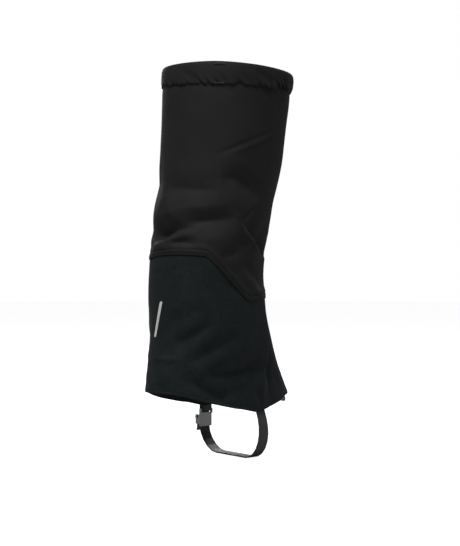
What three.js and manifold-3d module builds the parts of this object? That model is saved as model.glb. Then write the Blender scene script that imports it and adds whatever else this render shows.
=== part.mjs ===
// One knee-high hiking gaiter for a right boot, closed as worn. Millimetres, +Z up.
// The toe points to -Y, the outer side of the leg is -X, the inner side is +X.
// The origin is the middle of the strap face that the boot sole stands on.
import * as THREE from "three";
import Module from "manifold-3d";

// ---- Overall sizes ----
const TOP_HEIGHT = 467;
const FORM_HEIGHT = 467;
const RISE = TOP_HEIGHT / FORM_HEIGHT;
const CUFF_HEIGHT = 27;
const ANKLE_Y = 43.7;
const CLOTH = 1.2;
const GAP = 0.45;

// Leg form under the cloth, for a gaiter FORM_HEIGHT tall; its heights stretch with RISE.
// Each row: height, half width, front and back half depths, forward lean.
const SECTIONS = [
  { height: 40, side: 52, front: 134, back: 85.5, lean: 0 },
  { height: 60, side: 53, front: 126, back: 84, lean: 0 },
  { height: 83, side: 54, front: 115, back: 81.5, lean: 0 },
  { height: 115, side: 57, front: 98.5, back: 76.5, lean: 0 },
  { height: 145, side: 60, front: 85.8, back: 71.8, lean: 0 },
  { height: 189, side: 62, front: 74, back: 72, lean: 0 },
  { height: 220, side: 62, front: 71.5, back: 69.8, lean: -1.6 },
  { height: 273, side: 65, front: 73, back: 71.4, lean: 4.7 },
  { height: 357, side: 69, front: 75.5, back: 75.2, lean: 21.7 },
  { height: 455, side: 74, front: 81, back: 79, lean: 31 },
  { height: 470, side: 74.5, front: 81.5, back: 79.5, lean: 32 },
];

// Hem height by angle from the toe (0) round the outer side to the heel (180).
const HEM = [
  [0, 74], [36, 70], [58, 60.8], [73.5, 54.6], [85, 61], [112, 69], [140, 78.6], [156, 81.4], [180, 81.4],
];

// Height of the yoke seam where the upper panel laps over the lower one.
const YOKE = [
  [0, 190.5], [55, 190.4], [70, 188.5], [79, 187.2], [84, 190.7], [90, 200], [98.5, 211.8], [107, 222.3],
  [120, 234.7], [125.6, 239], [132, 240.6], [145, 242.4], [165, 242.8], [180, 241.2],
];

// ---- Front closure ----
const SLIT_OUTER_X = 34;
const SLIT_INNER_X = 38.5;
const FLAP_ROOT_X = 38;
const FLAP_FREE_X = 1.5;
const HOOK_FROM_X = 25;
const HOOK_TO_X = 5;
const HOOK_THICKNESS = 0.8;
const HOOK_OFFSET = CLOTH + 0.7;
const LOOP_OFFSET = HOOK_OFFSET + HOOK_THICKNESS + GAP;
const FLAP_OFFSET = LOOP_OFFSET + HOOK_THICKNESS + GAP;
const FLAP_ROOT_OFFSET = 3.3;

// ---- Yoke lap and hem ----
const LAP_DEPTH = 7;
const LAP_OFFSET = 1.65;
const HEM_DEPTH = 12;

// ---- Strap and buckle ----
const STRAP_WIDTH = 15;
const STRAP_THICKNESS = 1.8;
const STRAP_TAIL_TOP = 96;
const STRAP_FACE_X = 58.6;
const STRAP_INNER_X = STRAP_FACE_X + STRAP_THICKNESS / 2;
const HEM_STRAP_X = 46.9 - STRAP_THICKNESS / 2;
const BAR_X = 55.9;
const BAR_Z = 49.5;
const BAR_SIZE = 2;
const TAB_WIDTH = 14;
const TAB_THICKNESS = 1;
const FRAME_HALF = 9.8;
const PIN_X = STRAP_FACE_X + STRAP_THICKNESS + 2.6;
const PIN_Z = 40;
const PIN_RADIUS = 1.1;

// ---- Snap on the cuff tab ----
const SNAP_X = 13;
const SNAP_Z = TOP_HEIGHT - 13;
const TAB_FREE_X = 4;
const CUFF_TAB_OFFSET = 6.6;

const COLUMNS = 60;
const group = new THREE.Group();
group.name = "gaiter";

const wasm = await Module();
wasm.setup();

// ---- Materials ----
function finish(name, colour, roughness, metalness = 0) {
  const material = new THREE.MeshStandardMaterial({ color: colour, roughness, metalness });
  material.name = name;
  return material;
}

const blackCloth = finish("upper_cloth", 0x242425, 0.8);
const charcoalCloth = finish("lower_cloth", 0x1f2426, 0.85);
const webbing = finish("webbing", 0x363738, 0.75);
const tape = finish("tape", 0x17181a, 0.7);
const hookTape = finish("hook_tape", 0x141415, 0.9);
const elastic = finish("elastic", 0x2b2b2d, 0.8);
const reflective = finish("reflective", 0xb0b2b4, 0.45);
const thread = finish("thread", 0x4a4a4c, 0.7);
const steel = finish("steel", 0x8c8e90, 0.35, 1);

// ---- Numbers along a table ----
function between(table, x) {
  let i = 0;
  while (i < table.length - 2 && x > table[i + 1][0]) i += 1;
  const [x0, y0] = table[i];
  const [x1, y1] = table[i + 1];
  const t = Math.min(1, Math.max(0, (x - x0) / (x1 - x0)));
  return y0 + (y1 - y0) * t;
}

function slope(key, i) {
  const a = SECTIONS[Math.max(0, i - 1)];
  const b = SECTIONS[Math.min(SECTIONS.length - 1, i + 1)];
  return (b[key] - a[key]) / (b.height - a.height);
}

function sectionValue(key, height) {
  const level = height / RISE;
  let i = 0;
  while (i < SECTIONS.length - 2 && level > SECTIONS[i + 1].height) i += 1;
  const a = SECTIONS[i];
  const b = SECTIONS[i + 1];
  const span = b.height - a.height;
  const t = (level - a.height) / span;
  const t2 = t * t;
  const t3 = t2 * t;
  const rise = (t3 - 2 * t2 + t) * span * slope(key, i) + (t3 - t2) * span * slope(key, i + 1);
  return (2 * t3 - 3 * t2 + 1) * a[key] + (3 * t2 - 2 * t3) * b[key] + rise;
}

// ---- Places on the leg form ----
function legPoint(angle, height, offset) {
  const a = THREE.MathUtils.degToRad(angle);
  const side = sectionValue("side", height);
  const depth = sectionValue(Math.cos(a) > 0 ? "front" : "back", height);
  const x = -side * Math.sin(a);
  const y = -depth * Math.cos(a);
  const nx = x / (side * side);
  const ny = y / (depth * depth);
  const n = Math.hypot(nx, ny);
  const middle = ANKLE_Y - sectionValue("lean", height);
  return new THREE.Vector3(x + (offset * nx) / n, y + (offset * ny) / n + middle, height);
}

// Angle of the front line that stands x to the inner side at this height.
function frontAngle(x, height) {
  return -THREE.MathUtils.radToDeg(Math.asin(x / sectionValue("side", height)));
}

function fold(angle) {
  const a = ((angle % 360) + 360) % 360;
  return a > 180 ? 360 - a : a;
}

const hemHeight = (angle) => RISE * between(HEM, fold(angle));
const yokeHeight = (angle) => RISE * between(YOKE, fold(angle));

// Angle of share s of the way round the shell, from the outer edge of the slit to the inner one.
function shellAngle(s, height) {
  const start = frontAngle(SLIT_OUTER_X, height);
  const end = 360 + frontAngle(SLIT_INNER_X, height);
  return start + (end - start) * s;
}

// Angle of share s across a flap, from its sewn edge to its free edge.
function acrossFront(fromX, toX) {
  return (s, height) => {
    const start = frontAngle(fromX, height);
    return start + (frontAngle(toX, height) - start) * s;
  };
}

// ---- Solids ----
function solid(points, faces) {
  let volume = 0;
  for (const [a, b, c] of faces) {
    volume += points[a].dot(new THREE.Vector3().crossVectors(points[b], points[c]));
  }
  const order = volume < 0 ? [0, 2, 1] : [0, 1, 2];
  const geometry = new THREE.BufferGeometry();
  geometry.setAttribute("position", new THREE.Float32BufferAttribute(points.flatMap((p) => p.toArray()), 3));
  geometry.setIndex(faces.flatMap((f) => order.map((k) => f[k])));
  geometry.computeVertexNormals();
  return geometry;
}

function skin(faces, rings, size, first, flip) {
  for (let r = 0; r + 1 < rings; r += 1) {
    for (let k = 0; k < size; k += 1) {
      const a = first + r * size + k;
      const b = first + r * size + ((k + 1) % size);
      const c = a + size;
      const d = b + size;
      faces.push(flip ? [a, c, b] : [a, b, c]);
      faces.push(flip ? [b, c, d] : [b, d, c]);
    }
  }
}

// A solid through rings of points; each ring runs up one face and back down the other.
function layered(rings) {
  const size = rings[0].length;
  const faces = [];
  skin(faces, rings.length, size, 0, false);
  const last = (rings.length - 1) * size;
  for (let k = 0; k < size / 2 - 1; k += 1) {
    const far = size - 1 - k;
    faces.push([k, far, k + 1], [k + 1, far, far - 1]);
    faces.push([last + k, last + k + 1, last + far], [last + k + 1, last + far - 1, last + far]);
  }
  return solid(rings.flat(), faces);
}

// A tube through rings with a hollow through smaller rings, open at both ends.
function hollow(outerRings, innerRings) {
  const size = outerRings[0].length;
  const count = outerRings.length;
  const first = size * count;
  const faces = [];
  skin(faces, count, size, 0, false);
  skin(faces, count, size, first, true);
  const last = (count - 1) * size;
  for (let k = 0; k < size; k += 1) {
    const next = (k + 1) % size;
    faces.push([k, first + k, next], [next, first + k, first + next]);
    faces.push([last + k, last + next, first + last + k], [last + next, first + last + next, first + last + k]);
  }
  return solid([...outerRings.flat(), ...innerRings.flat()], faces);
}

function place(name, geometry, material) {
  const mesh = new THREE.Mesh(geometry, material);
  mesh.name = name;
  group.add(mesh);
  return mesh;
}

// A sheet that lies on the leg form between a lower and an upper edge.
function sheet({ columns, rows, angleAt, bottomAt, topAt, insideAt, thickness }) {
  const rings = [];
  for (let i = 0; i <= columns; i += 1) {
    const s = i / columns;
    let low = bottomAt(angleAt(s, 100));
    let high = topAt(angleAt(s, 300));
    for (let turn = 0; turn < 4; turn += 1) {
      low = bottomAt(angleAt(s, low));
      high = topAt(angleAt(s, high));
    }
    const outer = [];
    const inner = [];
    for (let j = 0; j <= rows.length - 1; j += 1) {
      const height = low + rows[j](low, high);
      const inside = insideAt(s, height - low);
      outer.push(legPoint(angleAt(s, height), height, inside + thickness));
      inner.unshift(legPoint(angleAt(s, height), height, inside));
    }
    rings.push([...outer, ...inner]);
  }
  return layered(rings);
}

function evenRows(count, after = []) {
  const start = after.length ? after[after.length - 1] : 0;
  const fixed = after.map((d) => () => d);
  const even = [];
  for (let j = after.length ? 1 : 0; j <= count; j += 1) {
    even.push((low, high) => start + ((high - low - start) * j) / count);
  }
  return [...fixed, ...even];
}

// ---- Booleans on plain solids ----
function toManifold(geometry) {
  const index = geometry.index ? geometry.index.array : [...Array(geometry.attributes.position.count).keys()];
  const mesh = new wasm.Mesh({
    numProp: 3,
    vertProperties: new Float32Array(geometry.attributes.position.array),
    triVerts: new Uint32Array(index),
  });
  mesh.merge();
  return new wasm.Manifold(mesh);
}

function fromManifold(body) {
  const mesh = body.getMesh();
  const geometry = new THREE.BufferGeometry();
  geometry.setAttribute("position", new THREE.BufferAttribute(new Float32Array(mesh.vertProperties), 3));
  geometry.setIndex(new THREE.BufferAttribute(new Uint32Array(mesh.triVerts), 1));
  geometry.computeVertexNormals();
  return geometry;
}

function boxBody(x0, x1, y0, y1, z0, z1) {
  return wasm.Manifold.cube([x1 - x0, y1 - y0, z1 - z0]).translate([x0, y0, z0]);
}

// A round bar along Y.
function barBody(x, z, radius, y0, y1, sides = 20) {
  const bar = wasm.Manifold.cylinder(y1 - y0, radius, radius, sides);
  return bar.rotate([-90, 0, 0]).translate([x, y0, z]);
}

// A disc or post whose axis is local Z, from height z0 to z1.
function discBody(radius, z0, z1, sides = 20, topRadius = radius) {
  return wasm.Manifold.cylinder(z1 - z0, radius, topRadius, sides).translate([0, 0, z0]);
}

// ---- Panels ----
function standoff(distance) {
  if (distance <= LAP_DEPTH + 2) return LAP_OFFSET;
  return Math.max(0, LAP_OFFSET * (1 - (distance - LAP_DEPTH - 2) / 7));
}

function addPanels() {
  place("upper_panel", sheet({
    columns: COLUMNS,
    rows: evenRows(11, [0, 9, 16]),
    angleAt: shellAngle,
    bottomAt: yokeHeight,
    topAt: () => TOP_HEIGHT - CUFF_HEIGHT + 5,
    insideAt: (s, distance) => standoff(distance),
    thickness: CLOTH,
  }), blackCloth);
  place("lower_panel", sheet({
    columns: COLUMNS,
    rows: evenRows(10),
    angleAt: shellAngle,
    bottomAt: hemHeight,
    topAt: (angle) => yokeHeight(angle) + LAP_DEPTH,
    insideAt: () => 0,
    thickness: CLOTH,
  }), charcoalCloth);
  place("hem_facing", sheet({
    columns: COLUMNS,
    rows: evenRows(1),
    angleAt: shellAngle,
    bottomAt: (angle) => hemHeight(angle) + 0.6,
    topAt: (angle) => hemHeight(angle) + 0.6 + HEM_DEPTH,
    insideAt: () => -GAP - 0.8,
    thickness: 0.8,
  }), charcoalCloth);
  place("yoke_seam_tape", sheet({
    columns: COLUMNS,
    rows: evenRows(1),
    angleAt: shellAngle,
    bottomAt: (angle) => yokeHeight(angle) - 9,
    topAt: (angle) => yokeHeight(angle) + 4,
    insideAt: () => -GAP - 0.6,
    thickness: 0.6,
  }), tape);
}

// ---- Cuff: a cloth tunnel with an elastic band inside ----
function cuffLoops() {
  const z = TOP_HEIGHT;
  const low = TOP_HEIGHT - CUFF_HEIGHT;
  const outer = [
    [1.65, low - 0.4], [2.75, low - 0.4], [3.6, low + 5], [4.3, low + 12], [4.3, z - 8], [3.2, z - 2.2],
    [1, z], [-1, z - 2], [-1.9, z - 8], [-1.9, low + 12], [-1.2, low + 6.5], [1.65, low + 6.2],
  ];
  const inner = [
    [1.9, low + 7.3], [2.4, low + 7.3], [2.9, low + 8], [3.45, low + 12.5], [3.45, z - 8.4], [2.6, z - 3.1],
    [1, z - 1], [-0.4, z - 2.7], [-1.05, z - 8.2], [-1.05, low + 12.3], [-0.5, low + 7.4], [1.2, low + 7.3],
  ];
  return { outer, inner };
}

function addCuff() {
  const { outer, inner } = cuffLoops();
  const ringAt = (loop, s) => loop.map(([d, h]) => legPoint(shellAngle(s, h), h, d));
  const outerRings = [];
  const innerRings = [];
  for (let i = 0; i <= COLUMNS; i += 1) {
    outerRings.push(ringAt(outer, i / COLUMNS));
    innerRings.push(ringAt(inner, i / COLUMNS));
  }
  place("cuff_tunnel", hollow(outerRings, innerRings), blackCloth);
  place("cuff_elastic", sheet({
    columns: COLUMNS,
    rows: evenRows(1),
    angleAt: (s, height) => shellAngle(0.02 + 0.96 * s, height),
    bottomAt: () => TOP_HEIGHT - CUFF_HEIGHT + 10,
    topAt: () => TOP_HEIGHT - 7,
    insideAt: () => 0.6,
    thickness: 1,
  }), elastic);
}

// ---- Small trim sewn on the outside ----
function addTrim() {
  const stripAngle = (height) => between([[147, 186.4], [188, 174.9]], height);
  place("reflective_strip", sheet({
    columns: 2,
    rows: evenRows(4),
    angleAt: (s, height) => stripAngle(height) + (s - 0.5) * 4,
    bottomAt: () => 146,
    topAt: () => 188,
    insideAt: () => CLOTH + GAP,
    thickness: 0.5,
  }), reflective);
  const bartack = (name, from, to, height, inside, tall) => place(name, sheet({
    columns: 2,
    rows: evenRows(1),
    angleAt: (s) => from + (to - from) * s,
    bottomAt: () => height,
    topAt: () => height + tall,
    insideAt: () => inside,
    thickness: 0.6,
  }), thread);
  bartack("rim_bartack", 130, 139, TOP_HEIGHT - 7, 4.75, 2);
  bartack("seam_bartack", 130, 138, TOP_HEIGHT - 27, 3.6, 2);
}

// ---- Front closure: hook strips on the shell, flaps with loop strips over them ----
function addBinding(name, bottomAt, topAt) {
  place(name, sheet({
    columns: 2,
    rows: evenRows(8),
    angleAt: acrossFront(FLAP_ROOT_X + 8, FLAP_ROOT_X + 1.5),
    bottomAt,
    topAt,
    insideAt: () => HOOK_OFFSET,
    thickness: 1,
  }), tape);
}

function frontStrip(name, bottomAt, topAt, inside, rows) {
  place(name, sheet({
    columns: 5,
    rows: evenRows(rows),
    angleAt: acrossFront(HOOK_FROM_X, HOOK_TO_X),
    bottomAt,
    topAt,
    insideAt: () => inside,
    thickness: HOOK_THICKNESS,
  }), hookTape);
}

function flap(name, bottomAt, topAt, rows, cloth) {
  const rise = FLAP_OFFSET - FLAP_ROOT_OFFSET;
  place(name, sheet({
    columns: 9,
    rows: evenRows(rows),
    angleAt: acrossFront(FLAP_ROOT_X, FLAP_FREE_X),
    bottomAt,
    topAt,
    insideAt: (s) => FLAP_ROOT_OFFSET + rise * Math.min(1, s * 5),
    thickness: CLOTH - 0.1,
  }), cloth);
}

function addClosure() {
  const cuffLine = TOP_HEIGHT - CUFF_HEIGHT;
  const upperLow = (angle) => yokeHeight(angle) + 18;
  const upperHigh = () => cuffLine - 8;
  const lowerLow = (angle) => hemHeight(angle) + 8;
  const lowerHigh = (angle) => yokeHeight(angle) - 8;
  addBinding("upper_binding", upperLow, () => cuffLine - 3);
  addBinding("lower_binding", (angle) => hemHeight(angle) + 2, (angle) => yokeHeight(angle) - 3);
  frontStrip("upper_hook_strip", upperLow, upperHigh, HOOK_OFFSET, 13);
  frontStrip("lower_hook_strip", lowerLow, lowerHigh, HOOK_OFFSET, 7);
  frontStrip("upper_loop_strip", upperLow, upperHigh, LOOP_OFFSET, 13);
  frontStrip("lower_loop_strip", lowerLow, lowerHigh, LOOP_OFFSET, 7);
  const toFree = (angle) => Math.max(0, 1 + angle / 38);
  const upperFlapLow = (angle) => yokeHeight(angle) + 0.6 + 2.2 * toFree(angle);
  const lowerFlapHigh = (angle) => yokeHeight(angle) - 0.6 - 3 * toFree(angle);
  flap("upper_flap", upperFlapLow, () => cuffLine - 2, 14, blackCloth);
  flap("lower_flap", hemHeight, lowerFlapHigh, 8, charcoalCloth);
}

// ---- Cuff tab with its press snap ----
function addCuffTab() {
  const angleAt = acrossFront(FLAP_ROOT_X + 1, TAB_FREE_X);
  const tab = sheet({
    columns: 8,
    rows: evenRows(2),
    angleAt,
    bottomAt: () => SNAP_Z - 9,
    topAt: () => SNAP_Z + 9,
    insideAt: () => CUFF_TAB_OFFSET,
    thickness: 1.3,
  });
  const angle = frontAngle(SNAP_X, SNAP_Z);
  const base = legPoint(angle, SNAP_Z, 0);
  const upward = legPoint(angle, SNAP_Z + 4, 0).sub(legPoint(angle, SNAP_Z - 4, 0));
  const sideways = legPoint(angle + 2, SNAP_Z, 0).sub(legPoint(angle - 2, SNAP_Z, 0));
  const outward = new THREE.Vector3().crossVectors(upward, sideways).normalize();
  const turn = new THREE.Quaternion().setFromUnitVectors(new THREE.Vector3(0, 0, 1), outward);
  const matrix = new THREE.Matrix4().compose(base, turn, new THREE.Vector3(1, 1, 1));
  const seat = (body) => body.transform(matrix.toArray());
  const top = CUFF_TAB_OFFSET + 1.3;
  const hole = seat(discBody(2.1, CUFF_TAB_OFFSET - 2, top + 2));
  place("cuff_tab", fromManifold(toManifold(tab).subtract(hole)), webbing);
  const stud = discBody(4.4, 4.85, 5.4).add(discBody(1.9, 5.3, 6.5));
  place("cuff_snap_stud", fromManifold(seat(stud)), steel);
  const ring = discBody(4.4, 5.7, 6.25).subtract(discBody(2.5, 5, 7));
  place("cuff_snap_socket", fromManifold(seat(ring)), steel);
  const cap = discBody(5.6, top + GAP, top + GAP + 0.6, 24)
    .add(discBody(5.6, top + GAP + 0.5, top + GAP + 1.7, 24, 3.4))
    .add(discBody(1.5, CUFF_TAB_OFFSET + 0.3, top + GAP + 0.3));
  place("cuff_snap_cap", fromManifold(seat(cap)), steel);
}

// ---- Instep strap ----
// Middle line of the strap, from its sewn outer end under the boot to its free inner end,
// and how far the face turns with the side of the leg.
const STRAP_LINE = [
  [-HEM_STRAP_X, 86, 0.16], [0.2 - HEM_STRAP_X, 62, 0.16], [-47.6, 54.5, 0.15], [-50.6, 47, 0.12], [-52.6, 38, 0.08],
  [-53, 29, 0.04], [-51.3, 19.5, 0], [-47.4, 11, 0], [-41.2, 4, 0], [-34, 0.2, 0], [-28, -0.9, 0],
  [28, -0.9, 0], [36, 0.6, 0], [45, 5.4, 0], [52.6, 12.6, 0], [57.6, 21, 0],
  [STRAP_INNER_X, 30, 0], [STRAP_INNER_X, STRAP_TAIL_TOP, 0],
];

// A flat band along a line in the XZ plane.
function band(line, width, thickness) {
  const half = width / 2;
  const rings = line.map(([x, z, turn = 0], i) => {
    const before = line[Math.max(0, i - 1)];
    const after = line[Math.min(line.length - 1, i + 1)];
    const along = new THREE.Vector2(after[0] - before[0], after[1] - before[1]).normalize();
    const across = new THREE.Vector2(along.y, -along.x).multiplyScalar(thickness / 2);
    const corner = (side, y) => new THREE.Vector3(x + side * across.x - turn * y, y, z + side * across.y);
    return [corner(1, -half), corner(1, half), corner(-1, half), corner(-1, -half)];
  });
  return layered(rings);
}

function addStrap() {
  place("instep_strap", band(STRAP_LINE, STRAP_WIDTH, STRAP_THICKNESS), webbing);
  place("lateral_anchor", sheet({
    columns: 6,
    rows: evenRows(2),
    angleAt: (s) => 58 + 26 * s,
    bottomAt: () => 64,
    topAt: () => 90,
    insideAt: () => -6.3,
    thickness: 0.9,
  }), webbing);
  const radius = BAR_SIZE / 2 + 0.5 + TAB_THICKNESS / 2;
  const loop = [[BAR_X - radius - 0.2, 92], [BAR_X - radius - 0.2, BAR_Z + 3]];
  for (let k = 0; k <= 6; k += 1) {
    const a = Math.PI + (Math.PI * k) / 6;
    loop.push([BAR_X + (radius + 0.2) * Math.cos(a), BAR_Z + (radius + 0.2) * Math.sin(a)]);
  }
  loop.push([BAR_X + 1.1, BAR_Z + 5], [BAR_X - 0.1, BAR_Z + 9], [BAR_X - 0.3, 72]);
  place("medial_anchor", band(loop, TAB_WIDTH, TAB_THICKNESS), webbing);
  const tailFace = STRAP_FACE_X + STRAP_THICKNESS;
  const outside = boxBody(STRAP_FACE_X - 1.2, tailFace + 1.8, -9.4, 9.4, 76, 83);
  const window = boxBody(STRAP_FACE_X - 0.35, tailFace + 0.4, -8, 8, 70, 90);
  place("strap_keeper", fromManifold(outside.subtract(window)), webbing);
}

// ---- Cam buckle: frame, pin and lever ----
function leverProfile() {
  const outline = [
    [1.95, -0.9], [1.9, 0.6], [1.2, 1.65], [0, 2.05], [-1.2, 1.65], [-1.95, 0.7], [-2.3, -0.4],
    [-1.6, -1.6], [-0.6, -3], [-0.3, -13], [0.6, -16.5], [2, -17.5], [2.6, -16.2], [1.6, -13],
  ];
  const shape = new THREE.Shape(outline.map(([x, z]) => new THREE.Vector2(PIN_X + x, PIN_Z + z)));
  shape.holes.push(new THREE.Path().absarc(PIN_X, PIN_Z, PIN_RADIUS + 0.3, 0, Math.PI * 2, true));
  const geometry = new THREE.ExtrudeGeometry(shape, { depth: 16.4, bevelEnabled: false, curveSegments: 8 });
  geometry.rotateX(Math.PI / 2);
  geometry.translate(0, 8.2, 0);
  return geometry;
}

function addBuckle() {
  const plate = STRAP_FACE_X - 0.55;
  let frame = boxBody(plate - 1.2, plate, -FRAME_HALF, FRAME_HALF, 28, 45.5);
  for (const side of [-1, 1]) {
    const y0 = Math.min(side * 8.6, side * FRAME_HALF);
    const y1 = Math.max(side * 8.6, side * FRAME_HALF);
    frame = frame.add(boxBody(plate - 1.2, PIN_X + 2.4, y0, y1, PIN_Z - 9, PIN_Z + 3));
    const a0 = Math.min(side * 7.8, side * FRAME_HALF);
    const a1 = Math.max(side * 7.8, side * FRAME_HALF);
    frame = frame.add(boxBody(BAR_X - 1, plate, a0, a1, 44, BAR_Z + 1));
  }
  frame = frame.add(boxBody(BAR_X - 1, BAR_X + 1, -FRAME_HALF, FRAME_HALF, BAR_Z - 1, BAR_Z + 1));
  frame = frame.subtract(barBody(PIN_X, PIN_Z, PIN_RADIUS + 0.3, -12, 12));
  place("buckle_frame", fromManifold(frame), steel);
  const pin = barBody(PIN_X, PIN_Z, PIN_RADIUS, -10.8, 10.8)
    .add(barBody(PIN_X, PIN_Z, 1.9, -10.9, -10.15))
    .add(barBody(PIN_X, PIN_Z, 1.9, 10.15, 10.9));
  place("buckle_pin", fromManifold(pin), steel);
  place("buckle_lever", fromManifold(toManifold(leverProfile())), steel);
}

// ---- Lace hook inside the front of the hem ----
function addLaceHook() {
  const low = legPoint(0, hemHeight(0), 0);
  const up = legPoint(0, hemHeight(0) + 20, 0).sub(low).normalize();
  const across = new THREE.Vector3(1, 0, 0);
  const outward = new THREE.Vector3().crossVectors(across, up).negate();
  if (outward.y > 0) outward.negate();
  const right = new THREE.Vector3().crossVectors(up, outward);
  const matrix = new THREE.Matrix4().makeBasis(right, up, outward).setPosition(low);
  const seat = (body) => body.transform(matrix.toArray());
  const tab = boxBody(-6, 6, -8, 17, -3.6, -2.5).subtract(discBody(1.6, -5, 0).translate([0, -4, 0]));
  place("lace_hook_tab", fromManifold(seat(tab)), webbing);
  const outline = [
    [-0.5, -0.6], [-0.5, -12], [-1.4, -14], [-3.4, -14.9], [-5.4, -14], [-6.2, -12], [-6.2, -9.5],
    [-5.2, -9.5], [-5.2, -11.8], [-4.7, -13], [-3.4, -13.7], [-2.1, -13], [-1.6, -11.5], [-1.6, -0.6],
  ];
  const shape = new THREE.Shape(outline.map(([depth, height]) => new THREE.Vector2(depth, height)));
  const hook = new THREE.ExtrudeGeometry(shape, { depth: 8, bevelEnabled: false });
  hook.applyMatrix4(new THREE.Matrix4().makeBasis(
    new THREE.Vector3(0, 0, 1), new THREE.Vector3(0, 1, 0), new THREE.Vector3(-1, 0, 0),
  ));
  hook.translate(4, 0, 0);
  const body = toManifold(hook).subtract(discBody(1.6, -4, 4).translate([0, -4, 0]));
  place("lace_hook", fromManifold(seat(body)), steel);
  const rivet = discBody(1.25, -4.4, 0.9).add(discBody(2.4, -4.6, -4.0)).add(discBody(2.4, 0.3, 0.9));
  place("lace_hook_rivet", fromManifold(seat(rivet.translate([0, -4, 0]))), steel);
}

addPanels();
addCuff();
addTrim();
addClosure();
addCuffTab();
addStrap();
addBuckle();
addLaceHook();

export default group;
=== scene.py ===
"""Looks of a knee-high hiking gaiter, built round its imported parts.

Sizes in the classes are millimetres and degrees, as on a cutting pattern. Meshes are in metres.
The toe points to -Y, the outer side of the leg is -X and the leg rises along +Z.
"""
import logging
import math
from dataclasses import dataclass, field, fields
from enum import Enum
from typing import Callable

import bmesh
import bpy
import numpy as np
from mathutils import Matrix, Vector


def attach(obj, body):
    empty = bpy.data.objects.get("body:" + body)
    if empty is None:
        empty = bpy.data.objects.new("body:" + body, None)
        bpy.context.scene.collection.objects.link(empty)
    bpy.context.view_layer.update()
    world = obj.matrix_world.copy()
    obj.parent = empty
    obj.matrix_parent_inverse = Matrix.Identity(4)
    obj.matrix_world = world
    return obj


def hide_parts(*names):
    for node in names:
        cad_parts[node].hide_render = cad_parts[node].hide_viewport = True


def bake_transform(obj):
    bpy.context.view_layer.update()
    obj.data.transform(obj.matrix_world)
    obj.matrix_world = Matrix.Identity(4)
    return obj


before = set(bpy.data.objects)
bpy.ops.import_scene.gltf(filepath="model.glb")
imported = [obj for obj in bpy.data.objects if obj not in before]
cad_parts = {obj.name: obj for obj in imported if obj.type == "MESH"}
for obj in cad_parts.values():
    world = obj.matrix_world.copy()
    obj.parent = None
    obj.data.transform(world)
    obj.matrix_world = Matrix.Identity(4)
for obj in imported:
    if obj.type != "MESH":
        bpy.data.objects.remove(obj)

logging.basicConfig(level=logging.INFO, format="%(message)s")
LOG = logging.getLogger("gaiter")
MM = 0.001
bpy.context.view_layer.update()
Array = np.ndarray
Piece = bpy.types.Object
Material = bpy.types.Material
Tree = bpy.types.NodeTree
Node = bpy.types.Node
Socket = bpy.types.NodeSocket
Table = tuple[tuple[float, float], ...]
Route = tuple[tuple[float, float, float], ...]
Edge = Callable[[Array], Array]
AngleLine = Callable[[Array, Array], Array]
Stand = Callable[[Array, Array, Array], Array]
Placer = Callable[[Array, Array], tuple[Array, Array]]


def level(height: float) -> Edge:
    """An edge at one height all the way round."""
    return lambda angle: height + 0 * angle


def above(edge: Edge, gap: float) -> Edge:
    """An edge that runs at a gap above another one."""
    return lambda angle: edge(angle) + gap


def even(stand: float) -> Stand:
    """A stand off the form that is the same all over a sheet."""
    return lambda s, rise, height: stand + 0 * height


# The leg form.
@dataclass(frozen=True)
class Section:
    """One level of the leg form under the cloth."""

    height: float
    side: float
    front: float
    back: float
    lean: float


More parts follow.
